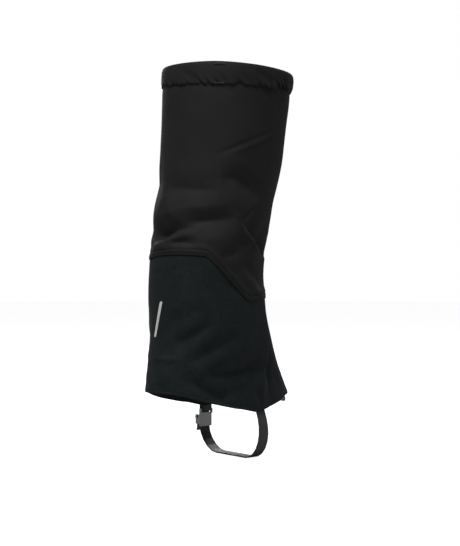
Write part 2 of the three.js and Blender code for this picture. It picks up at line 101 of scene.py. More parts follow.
@dataclass(frozen=True)
class LegForm:
    """The smooth worn shape that every cloth piece lies on."""

    ankle_y: float = 43.7
    slit_outer_x: float = 34.0
    slit_inner_x: float = 38.5
    sections: tuple[Section, ...] = (
        Section(40, 52, 134, 85.5, 0), Section(60, 53, 126, 84, 0), Section(83, 54, 115, 81.5, 0),
        Section(115, 57, 98.5, 76.5, 0), Section(145, 60, 85.8, 71.8, 0), Section(189, 62, 74, 72, 0),
        Section(220, 62, 71.5, 69.8, -1.6), Section(273, 65, 73, 71.4, 4.7), Section(357, 69, 75.5, 75.2, 21.7),
        Section(455, 74, 81, 79, 31), Section(470, 74.5, 81.5, 79.5, 32),
    )
    hem: Table = (
        (-40, 69.2), (-36, 70), (0, 74), (36, 70.5), (58, 61.4), (73.5, 55.4), (85, 61), (112, 69.8), (140, 79.2),
        (156, 81.8), (204, 81.8), (220, 79), (248, 69), (275, 61), (286.5, 54.8), (302, 60.8), (324, 70), (340, 71.5),
    )
    yoke: Table = (
        (-40, 191), (54, 190.8), (68, 189.2), (79, 187.6), (81.5, 188.0), (84, 190.2), (90, 197.2), (98, 207.0),
        (108, 219.4), (118, 231.2), (125, 238.6), (127.5, 240.4), (136, 241.4), (150, 242.2), (166, 242.2),
        (182, 241.2), (197, 238.6), (212, 237.4), (230, 236.8), (235, 235.6), (242, 229), (252, 217.6), (262, 205.6),
        (270, 196.6), (276, 190), (281, 187.6), (292, 189.2), (306, 190.8), (340, 191),
    )
    cuff_shift: Table = (
        (-40, 0), (40, 0), (70, 0.5), (105, -1.2), (140, -1.6), (175, 1.2), (205, 4.6), (235, 5), (290, 1), (340, 0),
    )
    cuff_seam: float = 440.5
    table_start: float = -40.0
    easing: tuple[float, ...] = (-0.8, -0.4, 0.0, 0.4, 0.8)

    def value(self, key: str, height: Array) -> Array:
        """Reads one size of the form at some heights.

        Args:
            key: Name of the section size.
            height: Heights in millimetres.

        Returns:
            The size at each height.
        """
        xs = np.array([s.height for s in self.sections])
        ys = np.array([getattr(s, key) for s in self.sections])
        before, after = np.maximum(np.arange(len(xs)) - 1, 0), np.minimum(np.arange(len(xs)) + 1, len(xs) - 1)
        slope = (ys[after] - ys[before]) / (xs[after] - xs[before])
        i = np.clip(np.searchsorted(xs, height) - 1, 0, len(xs) - 2)
        span = xs[i + 1] - xs[i]
        t = (height - xs[i]) / span
        rise = (t**3 - 2 * t**2 + t) * span * slope[i] + (t**3 - t**2) * span * slope[i + 1]
        return (2 * t**3 - 3 * t**2 + 1) * ys[i] + (3 * t**2 - 2 * t**3) * ys[i + 1] + rise

    def points(self, angle: Array, height: Array, offset: Array) -> Array:
        """Places points on or off the form.

        Args:
            angle: Degrees round the leg, 0 at the toe and 90 at the outer side.
            height: Heights in millimetres.
            offset: Millimetres outwards from the form.

        Returns:
            One row of x, y, z in metres for each point.
        """
        angle, height, offset = np.broadcast_arrays(*(np.asarray(v, float) for v in (angle, height, offset)))
        a = np.radians(angle)
        side = self.value("side", height)
        depth = np.where(np.cos(a) > 0, self.value("front", height), self.value("back", height))
        x, y = -side * np.sin(a), -depth * np.cos(a)
        nx, ny = x / side**2, y / depth**2
        n = np.hypot(nx, ny)
        middle = self.ankle_y - self.value("lean", height)
        return np.stack([x + offset * nx / n, y + offset * ny / n + middle, height], -1) * MM

    def front_angle(self, x: float, height: Array) -> Array:
        """Angle of the front line that stands x to the inner side, at each height."""
        return -np.degrees(np.arcsin(x / self.value("side", height)))

    def shell_angle(self, s: Array, height: Array) -> Array:
        """Angle at share s of the way round the open shell, at each height."""
        start = self.front_angle(self.slit_outer_x, height)
        return start + (360 + self.front_angle(self.slit_inner_x, height) - start) * s

    def edge(self, table: Table, angle: Array) -> Array:
        """Height of a cut edge at each angle, with its corners eased.

        Args:
            table: Heights of the edge by angle.
            angle: Degrees round the leg.

        Returns:
            The height at each angle.
        """
        xs, ys = zip(*table)
        eased = np.zeros(np.shape(angle))
        for shift in self.easing:
            around = (np.asarray(angle) + shift - self.table_start) % 360 + self.table_start
            eased = eased + np.interp(around, xs, ys) / len(self.easing)
        return eased

    def hem_height(self, angle: Array) -> Array:
        """Height of the hem at each angle."""
        return self.edge(self.hem, angle)

    def yoke_height(self, angle: Array) -> Array:
        """Height of the yoke seam at each angle."""
        return self.edge(self.yoke, angle)

    def seam_height(self, angle: Array) -> Array:
        """Height of the cuff seam at each angle."""
        return self.cuff_seam + self.edge(self.cuff_shift, angle)


# Folds in the cloth.
@dataclass(frozen=True)
class Fold:
    """A crease along a line of (angle, height) points; left and right are its widths on each hand."""

    line: Table
    depth: float
    left: float
    right: float
    crisp: float = 1.5
    core: float = 0.9

    def mirrored(self, share: float, rise: float, spread: float) -> "Fold":
        """The same crease on the other side of the leg, softer, wider and shifted."""
        return Fold(tuple((360 - a, h + rise) for a, h in reversed(self.line)), self.depth * share,
                    self.left * spread, self.right * spread, self.crisp)


@dataclass(frozen=True)
class Undulation:
    """Soft uneven swells over all the cloth, from a fixed set of slow waves."""

    seed: int = 11
    waves: int = 22
    shortest: float = 26.0
    longest: float = 95.0
    height: float = 0.42
    upright: float = 0.8
    phase: float = 6.28
    gain: float = 2.2

    def at(self, points: Array) -> Array:
        """Swell in millimetres at each point given in metres.

        Args:
            points: Places in metres.

        Returns:
            The swell at each place.
        """
        rng = np.random.default_rng(self.seed)
        total = np.zeros(len(points))
        for _ in range(self.waves):
            length = rng.uniform(self.shortest, self.longest)
            way = rng.normal(size=3) * (1, 1, self.upright)
            way /= np.linalg.norm(way)
            turns = points @ way / MM * 2 * math.pi / length + rng.uniform(0, self.phase)
            total += np.sin(turns) * length / self.longest
        return total * self.height / math.sqrt(self.waves) * self.gain


@dataclass(frozen=True)
class FoldField:
    """All the creases of the worn cloth, shared by every layer so that the layers stay together."""

    form: LegForm
    strength: float = 1.85
    swell: Undulation = Undulation()
    inner_share: float = 0.52
    inner_spread: float = 1.1
    inner_rises: tuple[int, ...] = (6, -7, 9, -4, 3, -8, 5)
    lower_rise_share: float = 0.5
    flap_edges: tuple[float, float] = (4, -46)
    flap_fades: tuple[float, float] = (16, 12)
    flap_share: float = 0.12
    buckle_angle: float = -68
    buckle_reach: float = 26
    buckle_top: float = 125
    buckle_fade: float = 30
    buckle_share: float = 0.2
    rim_height: float = 440
    rim_fade: float = 22
    steps: int = 5
    reach: float = 3.2
    falloff: float = 1.75
    tip: float = 0.03
    tip_power: float = 0.7
    upper: tuple[Fold, ...] = (
        Fold(((124, 331), (108, 330), (94, 320), (80, 309)), -3.4, 11, 13),
        Fold(((152, 279), (134, 281), (118, 283), (103, 285)), -3.7, 9, 13, 1.3),
        Fold(((184, 321), (150, 318), (124, 316)), -2.2, 13, 13),
        Fold(((197, 261), (178, 266), (145, 274)), -5.2, 13, 4.5, 1.15),
        Fold(((196, 253), (168, 259), (150, 269)), 1.3, 5, 6),
        Fold(((164, 255), (152, 257), (138, 254)), -2.2, 6, 4.5),
        Fold(((180, 316), (172, 292), (152, 275)), 1.6, 10, 14),
        Fold(((70, 306), (89, 294), (96, 278), (103, 260)), 1.1, 9, 14),
        Fold(((94, 283), (76, 266), (44, 243)), -6.4, 15, 4.5, 1.0),
        Fold(((91, 278), (76, 261), (40, 241)), 1.8, 4, 5),
        Fold(((112, 240), (101, 243), (92, 250)), -1.5, 6, 5),
        Fold(((96, 254), (82, 256)), -1.3, 6, 5),
        Fold(((88, 232), (76, 222), (62, 216)), -1.1, 5, 4),
        Fold(((130, 439), (121, 429)), -0.9, 2.4, 2.4),
        Fold(((88, 437), (94, 427)), -0.9, 2.6, 2.6),
        Fold(((64, 434), (76, 416)), -0.9, 3.4, 3.4),
        Fold(((166, 438), (160, 430)), -0.7, 2.6, 2.6),
        Fold(((58, 402), (93, 379), (116, 366), (130, 358)), -0.9, 2.6, 2.6),
        Fold(((60, 399), (93, 375), (118, 361)), 0.7, 3, 7),
        Fold(((50, 296), (56, 276), (58, 256), (50, 225)), -1.1, 14, 14),
        Fold(((30, 300), (20, 262), (28, 226)), -1.8, 9, 10),
        Fold(((200, 300), (205, 330), (196, 362)), -0.9, 12, 12),
    )
    lower: tuple[Fold, ...] = (
        Fold(((164, 166), (145, 170), (134, 183)), -0.9, 8, 8),
        Fold(((158, 136), (138, 148), (118, 164)), -2.0, 8, 8),
        Fold(((140, 115), (124, 126), (94, 147)), -2.7, 12, 9),
        Fold(((124, 102), (96, 104), (78, 109), (57, 102)), -4.2, 13, 10),
        Fold(((146, 103), (124, 88), (105, 74), (90, 87)), -2.8, 9, 8),
        Fold(((200, 117), (170, 122), (146, 121)), 0.9, 2.5, 2.5),
        Fold(((204, 104), (188, 95), (176, 84)), 0.9, 4, 6),
        Fold(((72, 87), (71, 74), (70, 62)), -1.6, 5, 5),
        Fold(((112, 212), (98, 206), (84, 190)), -0.9, 5, 7),
        Fold(((46, 106), (44, 74)), -1.7, 12, 12),
        Fold(((216, 176), (214, 140)), 0.7, 14, 14),
        Fold(((54, 186), (53, 168), (55, 147), (61, 115), (67, 84), (69, 58)), 2.5, 2.6, 10, 1.25, 0.5),
        Fold(((46, 180), (46, 152), (51, 122), (57, 92), (61, 68)), -3.0, 14, 5, 1.5),
        Fold(((84, 214), (74, 209), (62, 203)), 1.0, 3.5, 4),
        Fold(((80, 204), (70, 201), (58, 196)), 0.8, 3, 3.5),
        Fold(((20, 130), (12, 104), (14, 84)), -1.8, 9, 9),
    )

    def all(self) -> list[Fold]:
        """Every crease, with its softer counterpart on the inner side.

        Returns:
            The creases of both sides.
        """
        made = list(self.upper + self.lower)
        for i, fold in enumerate(self.upper + self.lower):
            share = 1 if i < len(self.upper) else self.lower_rise_share
            rise = self.inner_rises[i % len(self.inner_rises)] * share
            made.append(fold.mirrored(self.inner_share, rise, self.inner_spread))
        return made

    def calm(self, angle: Array, height: Array) -> Array:
        """Share of the creasing kept at each place: little under the front flaps and the buckle.

        Args:
            angle: Degrees round the leg.
            height: Heights in millimetres.

        Returns:
            A share from 0 to 1 for each place.
        """
        a = (np.asarray(angle) + 180) % 360 - 180
        (outer, inner), (outer_fade, inner_fade) = self.flap_edges, self.flap_fades
        front = np.clip(np.maximum((a - outer) / outer_fade, (inner - a) / inner_fade), 0, 1)
        near = np.clip(1 - np.abs(a - self.buckle_angle) / self.buckle_reach, 0, 1)
        buckle = 1 - near * np.clip((self.buckle_top - height) / self.buckle_fade, 0, 1)
        flap = self.flap_share + (1 - self.flap_share) * front * front * (3 - 2 * front)
        return flap * (self.buckle_share + (1 - self.buckle_share) * buckle)

    def at(self, angle: Array, height: Array) -> Array:
        """Outward push of the creases in millimetres.

        Args:
            angle: Degrees round the leg.
            height: Heights in millimetres.

        Returns:
            The push at each place.
        """
        angle, height = np.broadcast_arrays(np.asarray(angle, float), np.asarray(height, float))
        shape, angle, height = angle.shape, angle.ravel(), height.ravel()
        places = self.form.points(angle, height, 0)
        centre = np.array([0, self.form.ankle_y * MM, 0])
        outward = (places - centre) * (1, 1, 0)
        push = self.swell.at(places)
        for fold in self.all():
            push += self.one(fold, places, outward)
        rim = np.clip((self.rim_height - height) / self.rim_fade, 0, 1)
        return (push * self.calm(angle, height) * rim).reshape(shape)

    def one(self, fold: Fold, places: Array, outward: Array) -> Array:
        """Push of one crease at each place.

        Args:
            fold: The crease.
            places: Places on the form in metres.
            outward: Level direction away from the leg at each place.

        Returns:
            The push in millimetres at each place.
        """
        line = np.array(fold.line, float)
        marks = np.linspace(0, len(line) - 1, self.steps * (len(line) - 1) + 1)
        knots = np.arange(len(line))
        path = self.form.points(np.interp(marks, knots, line[:, 0]), np.interp(marks, knots, line[:, 1]), 0)
        reach = self.reach * max(fold.left, fold.right) * MM
        near = ((places > path.min(0) - reach) & (places < path.max(0) + reach)).all(1)
        push = np.zeros(len(places))
        if not near.any():
            return push
        here, out = places[near], outward[near]
        best = np.full(len(here), 1e9)
        along, hand = np.zeros(len(here)), np.zeros(len(here))
        for k in range(len(path) - 1):
            step = path[k + 1] - path[k]
            t = np.clip((here - path[k]) @ step / (step @ step), 0, 1)
            gap = here - path[k] - t[:, None] * step
            far = np.linalg.norm(gap, axis=1)
            closer = far < best
            best = np.where(closer, far, best)
            along = np.where(closer, (k + t) / (len(path) - 1), along)
            side = np.einsum("ij,ij->i", np.cross(np.broadcast_to(step, here.shape), gap), out)
            hand = np.where(closer, side, hand)
        width = np.where(hand > 0, fold.left, fold.right) * MM
        fade = np.sin(math.pi * np.clip(along * (1 - 2 * self.tip) + self.tip, 0, 1)) ** self.tip_power
        core = fold.core * MM
        slope = np.clip(1 - (np.hypot(best, core) - core) / (self.falloff * width), 0, 1)
        push[near] = self.strength * fold.depth * fade * slope**fold.crisp
        return push


# Mesh helpers.
class Workshop:
    """Makes pieces from bmesh shapes and finishes their edges."""

    @staticmethod
    def link(name: str, bm: bmesh.types.BMesh, smooth: bool = True) -> Piece:
        """Turns a bmesh into a named object.

        Args:
            name: Name of the new piece.
            bm: The shape, which is freed.
            smooth: Whether its faces shade smoothly.

        Returns:
            The new object.
        """
        mesh = bpy.data.meshes.new(name)
        bm.to_mesh(mesh)
        bm.free()
        mesh.polygons.foreach_set("use_smooth", [smooth] * len(mesh.polygons))
        obj = bpy.data.objects.new(name, mesh)
        bpy.context.scene.collection.objects.link(obj)
        return obj

    @staticmethod
    def grid(name: str, columns: int, rows: int, place: Placer, flip: bool = True) -> Piece:
        """Shapes a plain grid into a sheet.

        Args:
            name: Name of the new piece.
            columns: Cells along the first share.
            rows: Cells along the second share.
            place: Gives points in metres and pattern coordinates in metres for two shares from 0 to 1.
            flip: Whether the faces are turned over.

        Returns:
            The new sheet.
        """
        bm = bmesh.new()
        bmesh.ops.create_grid(bm, x_segments=columns, y_segments=rows, size=0.5)
        bm.verts.index_update()
        shares = np.array([(v.co.x + 0.5, v.co.y + 0.5) for v in bm.verts])
        points, pattern = place(shares[:, 0], shares[:, 1])
        for vert, point in zip(bm.verts, points):
            vert.co = point
        layer = bm.loops.layers.uv.new("pattern")
        for face in bm.faces:
            for loop in face.loops:
                loop[layer].uv = pattern[loop.vert.index]
        if flip:
            bmesh.ops.reverse_faces(bm, faces=bm.faces)
        return Workshop.link(name, bm)

    @staticmethod
    def thicken(obj: Piece, thickness: float, bevel: float = 0.0) -> Piece:
        """Gives a sheet its thickness, and rounds its rim.

        Args:
            obj: The sheet.
            thickness: Millimetres through.
            bevel: Width of the rounding in millimetres, or 0.

        Returns:
            The same sheet.
        """
        solid = obj.modifiers.new("thickness", "SOLIDIFY")
        solid.thickness = thickness * MM
        solid.offset = 0
        if bevel:
            Workshop.ease(obj, "rounding", bevel, 50)
        return obj

    @staticmethod
    def ease(obj: Piece, name: str, width: float, sharp: float) -> None:
        """Rounds the sharp edges of a piece.

        Args:
            obj: The piece.
            name: Name of the modifier.
            width: Width of the rounding in millimetres.
            sharp: Degrees from which an edge counts as sharp.
        """
        edge = obj.modifiers.new(name, "BEVEL")
        edge.width = width * MM
        edge.segments = 2
        edge.limit_method = "ANGLE"
        edge.angle_limit = math.radians(sharp)


# Finishes.
class Patterns:
    """Shader node groups shared by the finishes, with the scale, detail and roughness of their noises."""

    SLUB = (900.0, 3.0, 0.65)
    BROAD = (4.0, 0.6)
    FINE = (420.0, 2.0, 0.5)
    STREAK = (1.0, 4.0, 0.6)
    STRETCH = (60, 900, 60)
    BROAD_SHARE = 0.52
    OVER_HEIGHT = 0.5
    RIB_HEIGHT = 0.3

    @staticmethod
    def find(tree: Tree, kind: str) -> Node:
        """The first node of a kind in a tree."""
        return next(n for n in tree.nodes if n.type == kind)

    @staticmethod
    def start(name: str, inputs: dict[str, tuple[str, float | tuple[float, ...]]],
              outputs: dict[str, str]) -> tuple[Tree, Node, Node]:
        """Makes an empty group.

        Args:
            name: Name of the group.
            inputs: Socket type and first value by input name.
            outputs: Socket type by output name.

        Returns:
            The tree, its input node and its output node.
        """
        tree = bpy.data.node_groups.new(name, "ShaderNodeTree")
        for label, (kind, value) in inputs.items():
            socket = tree.interface.new_socket(name=label, in_out="INPUT", socket_type=kind)
            if kind != "NodeSocketVector":
                socket.default_value = value
        for label, kind in outputs.items():
            tree.interface.new_socket(name=label, in_out="OUTPUT", socket_type=kind)
        return tree, tree.nodes.new("NodeGroupInput"), tree.nodes.new("NodeGroupOutput")

    @staticmethod
    def math(tree: Tree, kind: str, a: object, b: object = 0.0) -> Socket:
        """Adds a maths node and returns its result.

        Args:
            tree: Tree that the node joins.
            kind: Operation of the node.
            a: First number or socket.
            b: Second number or socket.

        Returns:
            The result.
        """
        node = tree.nodes.new("ShaderNodeMath")
        node.operation = kind
        for i, value in enumerate((a, b)):
            if isinstance(value, (int, float)):
                node.inputs[i].default_value = value
            else:
                tree.links.new(value, node.inputs[i])
        return node.outputs[0]

    @staticmethod
    def noise(tree: Tree, vector: Socket, scale: object, detail: float, rough: float) -> Socket:
        """Adds a noise texture and returns its value.

        Args:
            tree: Tree that the node joins.
            vector: Where the noise is read.
            scale: A number or a socket.
            detail: Octaves of the noise.
            rough: Share kept from octave to octave.

        Returns:
            The value from 0 to 1.
        """
        node = tree.nodes.new("ShaderNodeTexNoise")
        node.inputs["Detail"].default_value = detail
        node.inputs["Roughness"].default_value = rough
        tree.links.new(vector, node.inputs["Vector"])
        if isinstance(scale, (int, float)):
            node.inputs["Scale"].default_value = scale
        else:
            tree.links.new(scale, node.inputs["Scale"])
        return node.outputs["Fac"]

    @staticmethod
    def ramp(tree: Tree, value: Socket, low: float, high: float) -> Socket:
        """Stretches the part of a value between low and high to 0 and 1.

        Args:
            tree: Tree that the node joins.
            value: The value to stretch.
            low: Value that becomes 0.
            high: Value that becomes 1.

        Returns:
            The stretched value.
        """
        node = tree.nodes.new("ShaderNodeMapRange")
        node.inputs["From Min"].default_value = low
        node.inputs["From Max"].default_value = high
        tree.links.new(value, node.inputs["Value"])
        return node.outputs["Result"]

    @classmethod
    def weave(cls) -> Tree:
        """A plain weave: threads over and under, with slubs. Gives Height and Value.

        Returns:
            The group.
        """
        tree, into, out = cls.start(
            "weave", {"Vector": ("NodeSocketVector", 0.0), "Lines per metre": ("NodeSocketFloat", 1600.0),
                      "Slub": ("NodeSocketFloat", 0.4)},
            {"Height": "NodeSocketFloat", "Value": "NodeSocketFloat"})
        split = tree.nodes.new("ShaderNodeSeparateXYZ")
        tree.links.new(into.outputs["Vector"], split.inputs[0])
        waves = []
        for axis in ("X", "Y"):
            turned = cls.math(tree, "MULTIPLY", split.outputs[axis], into.outputs["Lines per metre"])
            waves.append(cls.math(tree, "SINE", cls.math(tree, "MULTIPLY", turned, math.pi)))
        over = cls.math(tree, "MULTIPLY", waves[0], waves[1])
        slub = cls.noise(tree, into.outputs["Vector"], *cls.SLUB)
        uneven = cls.math(tree, "MULTIPLY", slub, into.outputs["Slub"])
        height = cls.math(tree, "ADD", cls.math(tree, "MULTIPLY", over, cls.OVER_HEIGHT), uneven)
        tree.links.new(height, out.inputs["Height"])
        tree.links.new(cls.ramp(tree, slub, 0.3, 0.7), out.inputs["Value"])
        return tree

    @classmethod
    def mottle(cls) -> Tree:
        """Cloudy unevenness at three sizes. Gives Value from 0 to 1.

        Returns:
            The group.
        """
        tree, into, out = cls.start(
            "mottle", {"Vector": ("NodeSocketVector", 0.0), "Scale": ("NodeSocketFloat", 30.0)},
            {"Value": "NodeSocketFloat"})
        broad = cls.noise(tree, into.outputs["Vector"], into.outputs["Scale"], *cls.BROAD)
        fine = cls.noise(tree, into.outputs["Vector"], *cls.FINE)
        mixed = cls.math(tree, "ADD", cls.math(tree, "MULTIPLY", broad, cls.BROAD_SHARE),
                         cls.math(tree, "MULTIPLY", fine, 1 - cls.BROAD_SHARE))
        tree.links.new(cls.ramp(tree, mixed, 0.36, 0.64), out.inputs["Value"])
        return tree

    @classmethod
    def streaks(cls) -> Tree:
        """Long ribs and brushed streaks along the first axis of the pattern. Gives Height and Value.

        Returns:
            The group.
        """
        tree, into, out = cls.start(
            "streaks", {"Vector": ("NodeSocketVector", 0.0), "Lines per metre": ("NodeSocketFloat", 900.0)},
            {"Height": "NodeSocketFloat", "Value": "NodeSocketFloat"})
        stretch = tree.nodes.new("ShaderNodeVectorMath")
        stretch.operation = "MULTIPLY"
        stretch.inputs[1].default_value = cls.STRETCH
        tree.links.new(into.outputs["Vector"], stretch.inputs[0])
        streak = cls.noise(tree, stretch.outputs[0], *cls.STREAK)
        split = tree.nodes.new("ShaderNodeSeparateXYZ")
        tree.links.new(into.outputs["Vector"], split.inputs[0])
        turned = cls.math(tree, "MULTIPLY", split.outputs["Y"], into.outputs["Lines per metre"])
        rib = cls.math(tree, "SINE", cls.math(tree, "MULTIPLY", turned, 2 * math.pi))
        height = cls.math(tree, "ADD", cls.math(tree, "MULTIPLY", rib, cls.RIB_HEIGHT), streak)
        tree.links.new(height, out.inputs["Height"])
        tree.links.new(cls.ramp(tree, streak, 0.35, 0.65), out.inputs["Value"])
        return tree


class Kind(Enum):
    """What a finish is made like; a woven kind has the name of its pattern group."""

    CLOTH = "weave"
    WEBBING = "streaks"
    PILE = "pile"
    METAL = "metal"


@dataclass(frozen=True)
class Finish:
    """One finish: its two colours, its shine and the pattern it is made with."""

    name: str
    kind: Kind
    dark: tuple[float, float, float]
    light: tuple[float, float, float]
    rough: float = 0.8
    rough_spread: float = 0.1
    metallic: float = 0.0
    specular: float = 0.5
    sheen: float = 0.0
    bump: float = 0.3
    bump_mm: float = 0.15
    threads: float = 1600.0
    clouds: float = 30.0
    grain: float = 0.35
    sheen_rough: float = 0.5
    speck_detail: float = 3.0
    speck_rough: float = 0.7

    def make(self, groups: dict[str, Tree]) -> Material:
        """Builds the material.

        Args:
            groups: The shared pattern groups by name.

        Returns:
            The material.
        """
        material = bpy.data.materials.new(self.name)
        material.use_nodes = True
        tree = material.node_tree
        shader = Patterns.find(tree, "BSDF_PRINCIPLED")
        place = tree.nodes.new("ShaderNodeTexCoord")
        cloudy = self.group(tree, groups["mottle"], place.outputs["Object"], {"Scale": self.clouds})
        if self.kind in (Kind.CLOTH, Kind.WEBBING):
            fine = self.group(tree, groups[self.kind.value], place.outputs["UV"], {"Lines per metre": self.threads})
            height, spot = fine.outputs["Height"], fine.outputs["Value"]
        else:
            specks = 1400.0 if self.kind is Kind.PILE else 700.0
            spot = Patterns.noise(tree, place.outputs["Object"], specks, self.speck_detail, self.speck_rough)
            height = spot
        share = Patterns.math(tree, "ADD", Patterns.math(tree, "MULTIPLY", cloudy.outputs["Value"], 1 - self.grain),
                              Patterns.math(tree, "MULTIPLY", spot, self.grain))
        colour = tree.nodes.new("ShaderNodeMix")
        colour.data_type = "RGBA"
        colour.inputs["A"].default_value = (*self.dark, 1)
        colour.inputs["B"].default_value = (*self.light, 1)
        tree.links.new(share, colour.inputs["Factor"])
        tree.links.new(colour.outputs["Result"], shader.inputs["Base Color"])
        shine = Patterns.math(tree, "MULTIPLY", cloudy.outputs["Value"], self.rough_spread)
        tree.links.new(Patterns.math(tree, "ADD", shine, self.rough - self.rough_spread / 2),
                       shader.inputs["Roughness"])
        bump = tree.nodes.new("ShaderNodeBump")
        bump.inputs["Strength"].default_value = self.bump
        bump.inputs["Distance"].default_value = self.bump_mm * MM
        tree.links.new(height, bump.inputs["Height"])
        tree.links.new(bump.outputs["Normal"], shader.inputs["Normal"])
        for label, value in (("Metallic", self.metallic), ("Specular IOR Level", self.specular),
                             ("Sheen Weight", self.sheen), ("Sheen Roughness", self.sheen_rough)):
            shader.inputs[label].default_value = value
        return material

    @staticmethod
    def group(tree: Tree, made: Tree, vector: Socket, values: dict[str, float]) -> Node:
        """Places a pattern group in a material with its own values.

        Args:
            tree: The material's tree.
            made: The group to place.
            vector: Where its pattern is read.
            values: Values by input name.

        Returns:
            The node of the group.
        """
        node = tree.nodes.new("ShaderNodeGroup")
        node.node_tree = made
        tree.links.new(vector, node.inputs["Vector"])
        for label, value in values.items():
            node.inputs[label].default_value = value
        return node


@dataclass(frozen=True)
class Wardrobe:
    """Every finish of the gaiter."""

    upper: Finish = Finish("black ripstop nylon", Kind.CLOTH, (0.0105, 0.0105, 0.0108), (0.014, 0.014, 0.0143),
                           rough=0.72, specular=0.16, sheen=0.02, threads=1900, clouds=26)
    lower: Finish = Finish("charcoal coated canvas", Kind.CLOTH, (0.0020, 0.0046, 0.0056), (0.0165, 0.0206, 0.0220),
                           rough=0.78, specular=0.16, sheen=0.02, threads=1300, clouds=70, bump=0.5, grain=0.5)
    webbing: Finish = Finish("grey strap webbing", Kind.WEBBING, (0.022, 0.023, 0.024), (0.042, 0.043, 0.044),
                             rough=0.55, specular=0.4, bump=0.5, threads=800, clouds=60)
    tape: Finish = Finish("black binding tape", Kind.WEBBING, (0.007, 0.007, 0.0075), (0.012, 0.012, 0.0125),
                          rough=0.6, specular=0.35, bump=0.4, threads=900)
    # Near-black strip below the yoke's folded edge: painted shadow of that edge.
    seam_shadow_strip: Finish = Finish("black piping", Kind.PILE, (0.0015, 0.0013, 0.0015), (0.004, 0.0036, 0.004),
                            rough=0.8, specular=0.1, bump=0.4)
    pile: Finish = Finish("hook and loop pile", Kind.PILE, (0.004, 0.004, 0.004), (0.011, 0.011, 0.011),
                          rough=0.9, specular=0.2, sheen=0.2, bump=0.9, bump_mm=0.4)
    elastic: Finish = Finish("knitted elastic", Kind.WEBBING, (0.012, 0.012, 0.013), (0.024, 0.024, 0.025),
                             rough=0.7, bump=0.6, threads=600)
    reflective: Finish = Finish("reflective tape", Kind.CLOTH, (0.58, 0.59, 0.60), (0.74, 0.75, 0.76),
                                rough=0.45, specular=0.5, threads=2600, bump=0.15, grain=0.5)
    thread: Finish = Finish("black thread", Kind.PILE, (0.003, 0.003, 0.0032), (0.008, 0.008, 0.0083),
                            rough=0.6, specular=0.4, bump=0.4)
    # Hem thread made lighter than the cloth: real stitching, with a painted highlight along the hem in its paleness.
    hem_thread: Finish = Finish("charcoal thread with painted highlight", Kind.PILE, (0.034, 0.039, 0.042), (0.064, 0.071, 0.075),
                                rough=0.6, specular=0.3, bump=0.4)
    # Bartack thread: real dark grey thread made pale, its lightness a painted sheen.
    pale_thread: Finish = Finish("dark grey thread with painted sheen", Kind.PILE, (0.05, 0.05, 0.052), (0.085, 0.085, 0.087),
                                 rough=0.5, specular=0.4, bump=0.4)
    steel: Finish = Finish("satin steel", Kind.METAL, (0.20, 0.20, 0.205), (0.34, 0.34, 0.35),
                           rough=0.34, rough_spread=0.18, metallic=1.0, bump=0.12, clouds=90)


# Shared parts list.
@dataclass
class Bench:
    """What every sub-assembly works with: the form, the folds and the made finishes."""

    form: LegForm = field(default_factory=LegForm)
    wardrobe: Wardrobe = field(default_factory=Wardrobe)
    finishes: dict[str, Material] = field(default_factory=dict)
    folds: FoldField = field(init=False)
    first_height: float = 200.0
    rounds: int = 5

    def __post_init__(self) -> None:
        """Makes the fold field and the materials."""
        self.folds = FoldField(self.form)
        groups = {"weave": Patterns.weave(), "mottle": Patterns.mottle(), "streaks": Patterns.streaks()}
        for item in fields(self.wardrobe):
            self.finishes[item.name] = getattr(self.wardrobe, item.name).make(groups)

    def on_cloth(self, angle: Array, height: Array, offset: Array) -> Array:
        """Points off the creased cloth, in metres."""
        return self.form.points(angle, height, self.folds.at(angle, height) + offset)

    def settle(self, edge: Edge, angle_at: AngleLine, s: Array) -> Array:
        """Height of an edge for each column, where the column's angle itself changes with height.

        Args:
            edge: Height of the edge by angle.
            angle_at: Angle by share and height.
            s: Share of each column.

        Returns:
            The height of the edge at each column.
        """
        height = edge(angle_at(s, np.full(np.shape(s), self.first_height)))
        for _ in range(self.rounds):
            height = edge(angle_at(s, height))
        return height

    def dress(self, obj: Piece, finish: str, slot: str, *nodes: str, body: str = "shell") -> Piece:
        """Dresses a piece and gives it to its body.

        Args:
            obj: The finished piece.
            finish: Name of its finish.
            slot: Not used.
            *nodes: Parts that it stands for.
            body: Body that it rides on, or an empty text where it rides on none.

        Returns:
            The same piece.
        """
        obj.data.materials.clear()
        obj.data.materials.append(self.finishes[finish])
        if body:
            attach(obj, body)
        if nodes:
            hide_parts(*nodes)
        LOG.info("piece %s: %d faces", obj.name, len(obj.data.polygons))
        return obj


@dataclass(frozen=True)
class Turn:
    """A cut edge turned under: q runs along the cloth, 0 at the fold, negative on the hidden side."""

    radius: float = 0.5
    under: float = 8.0

    def lift(self, q: Array) -> Array:
        """Height above the folded edge at each q."""
        bend = self.radius * (1 - np.cos(np.clip(q / self.radius, -math.pi / 2, math.pi / 2)))
        return bend + np.maximum(np.abs(q) - self.radius * math.pi / 2, 0)

    def depth(self, q: Array) -> Array:
        """How far each q lies behind the outer face."""
        return self.radius * (1 - np.sin(np.clip(q / self.radius, -math.pi / 2, math.pi / 2)))


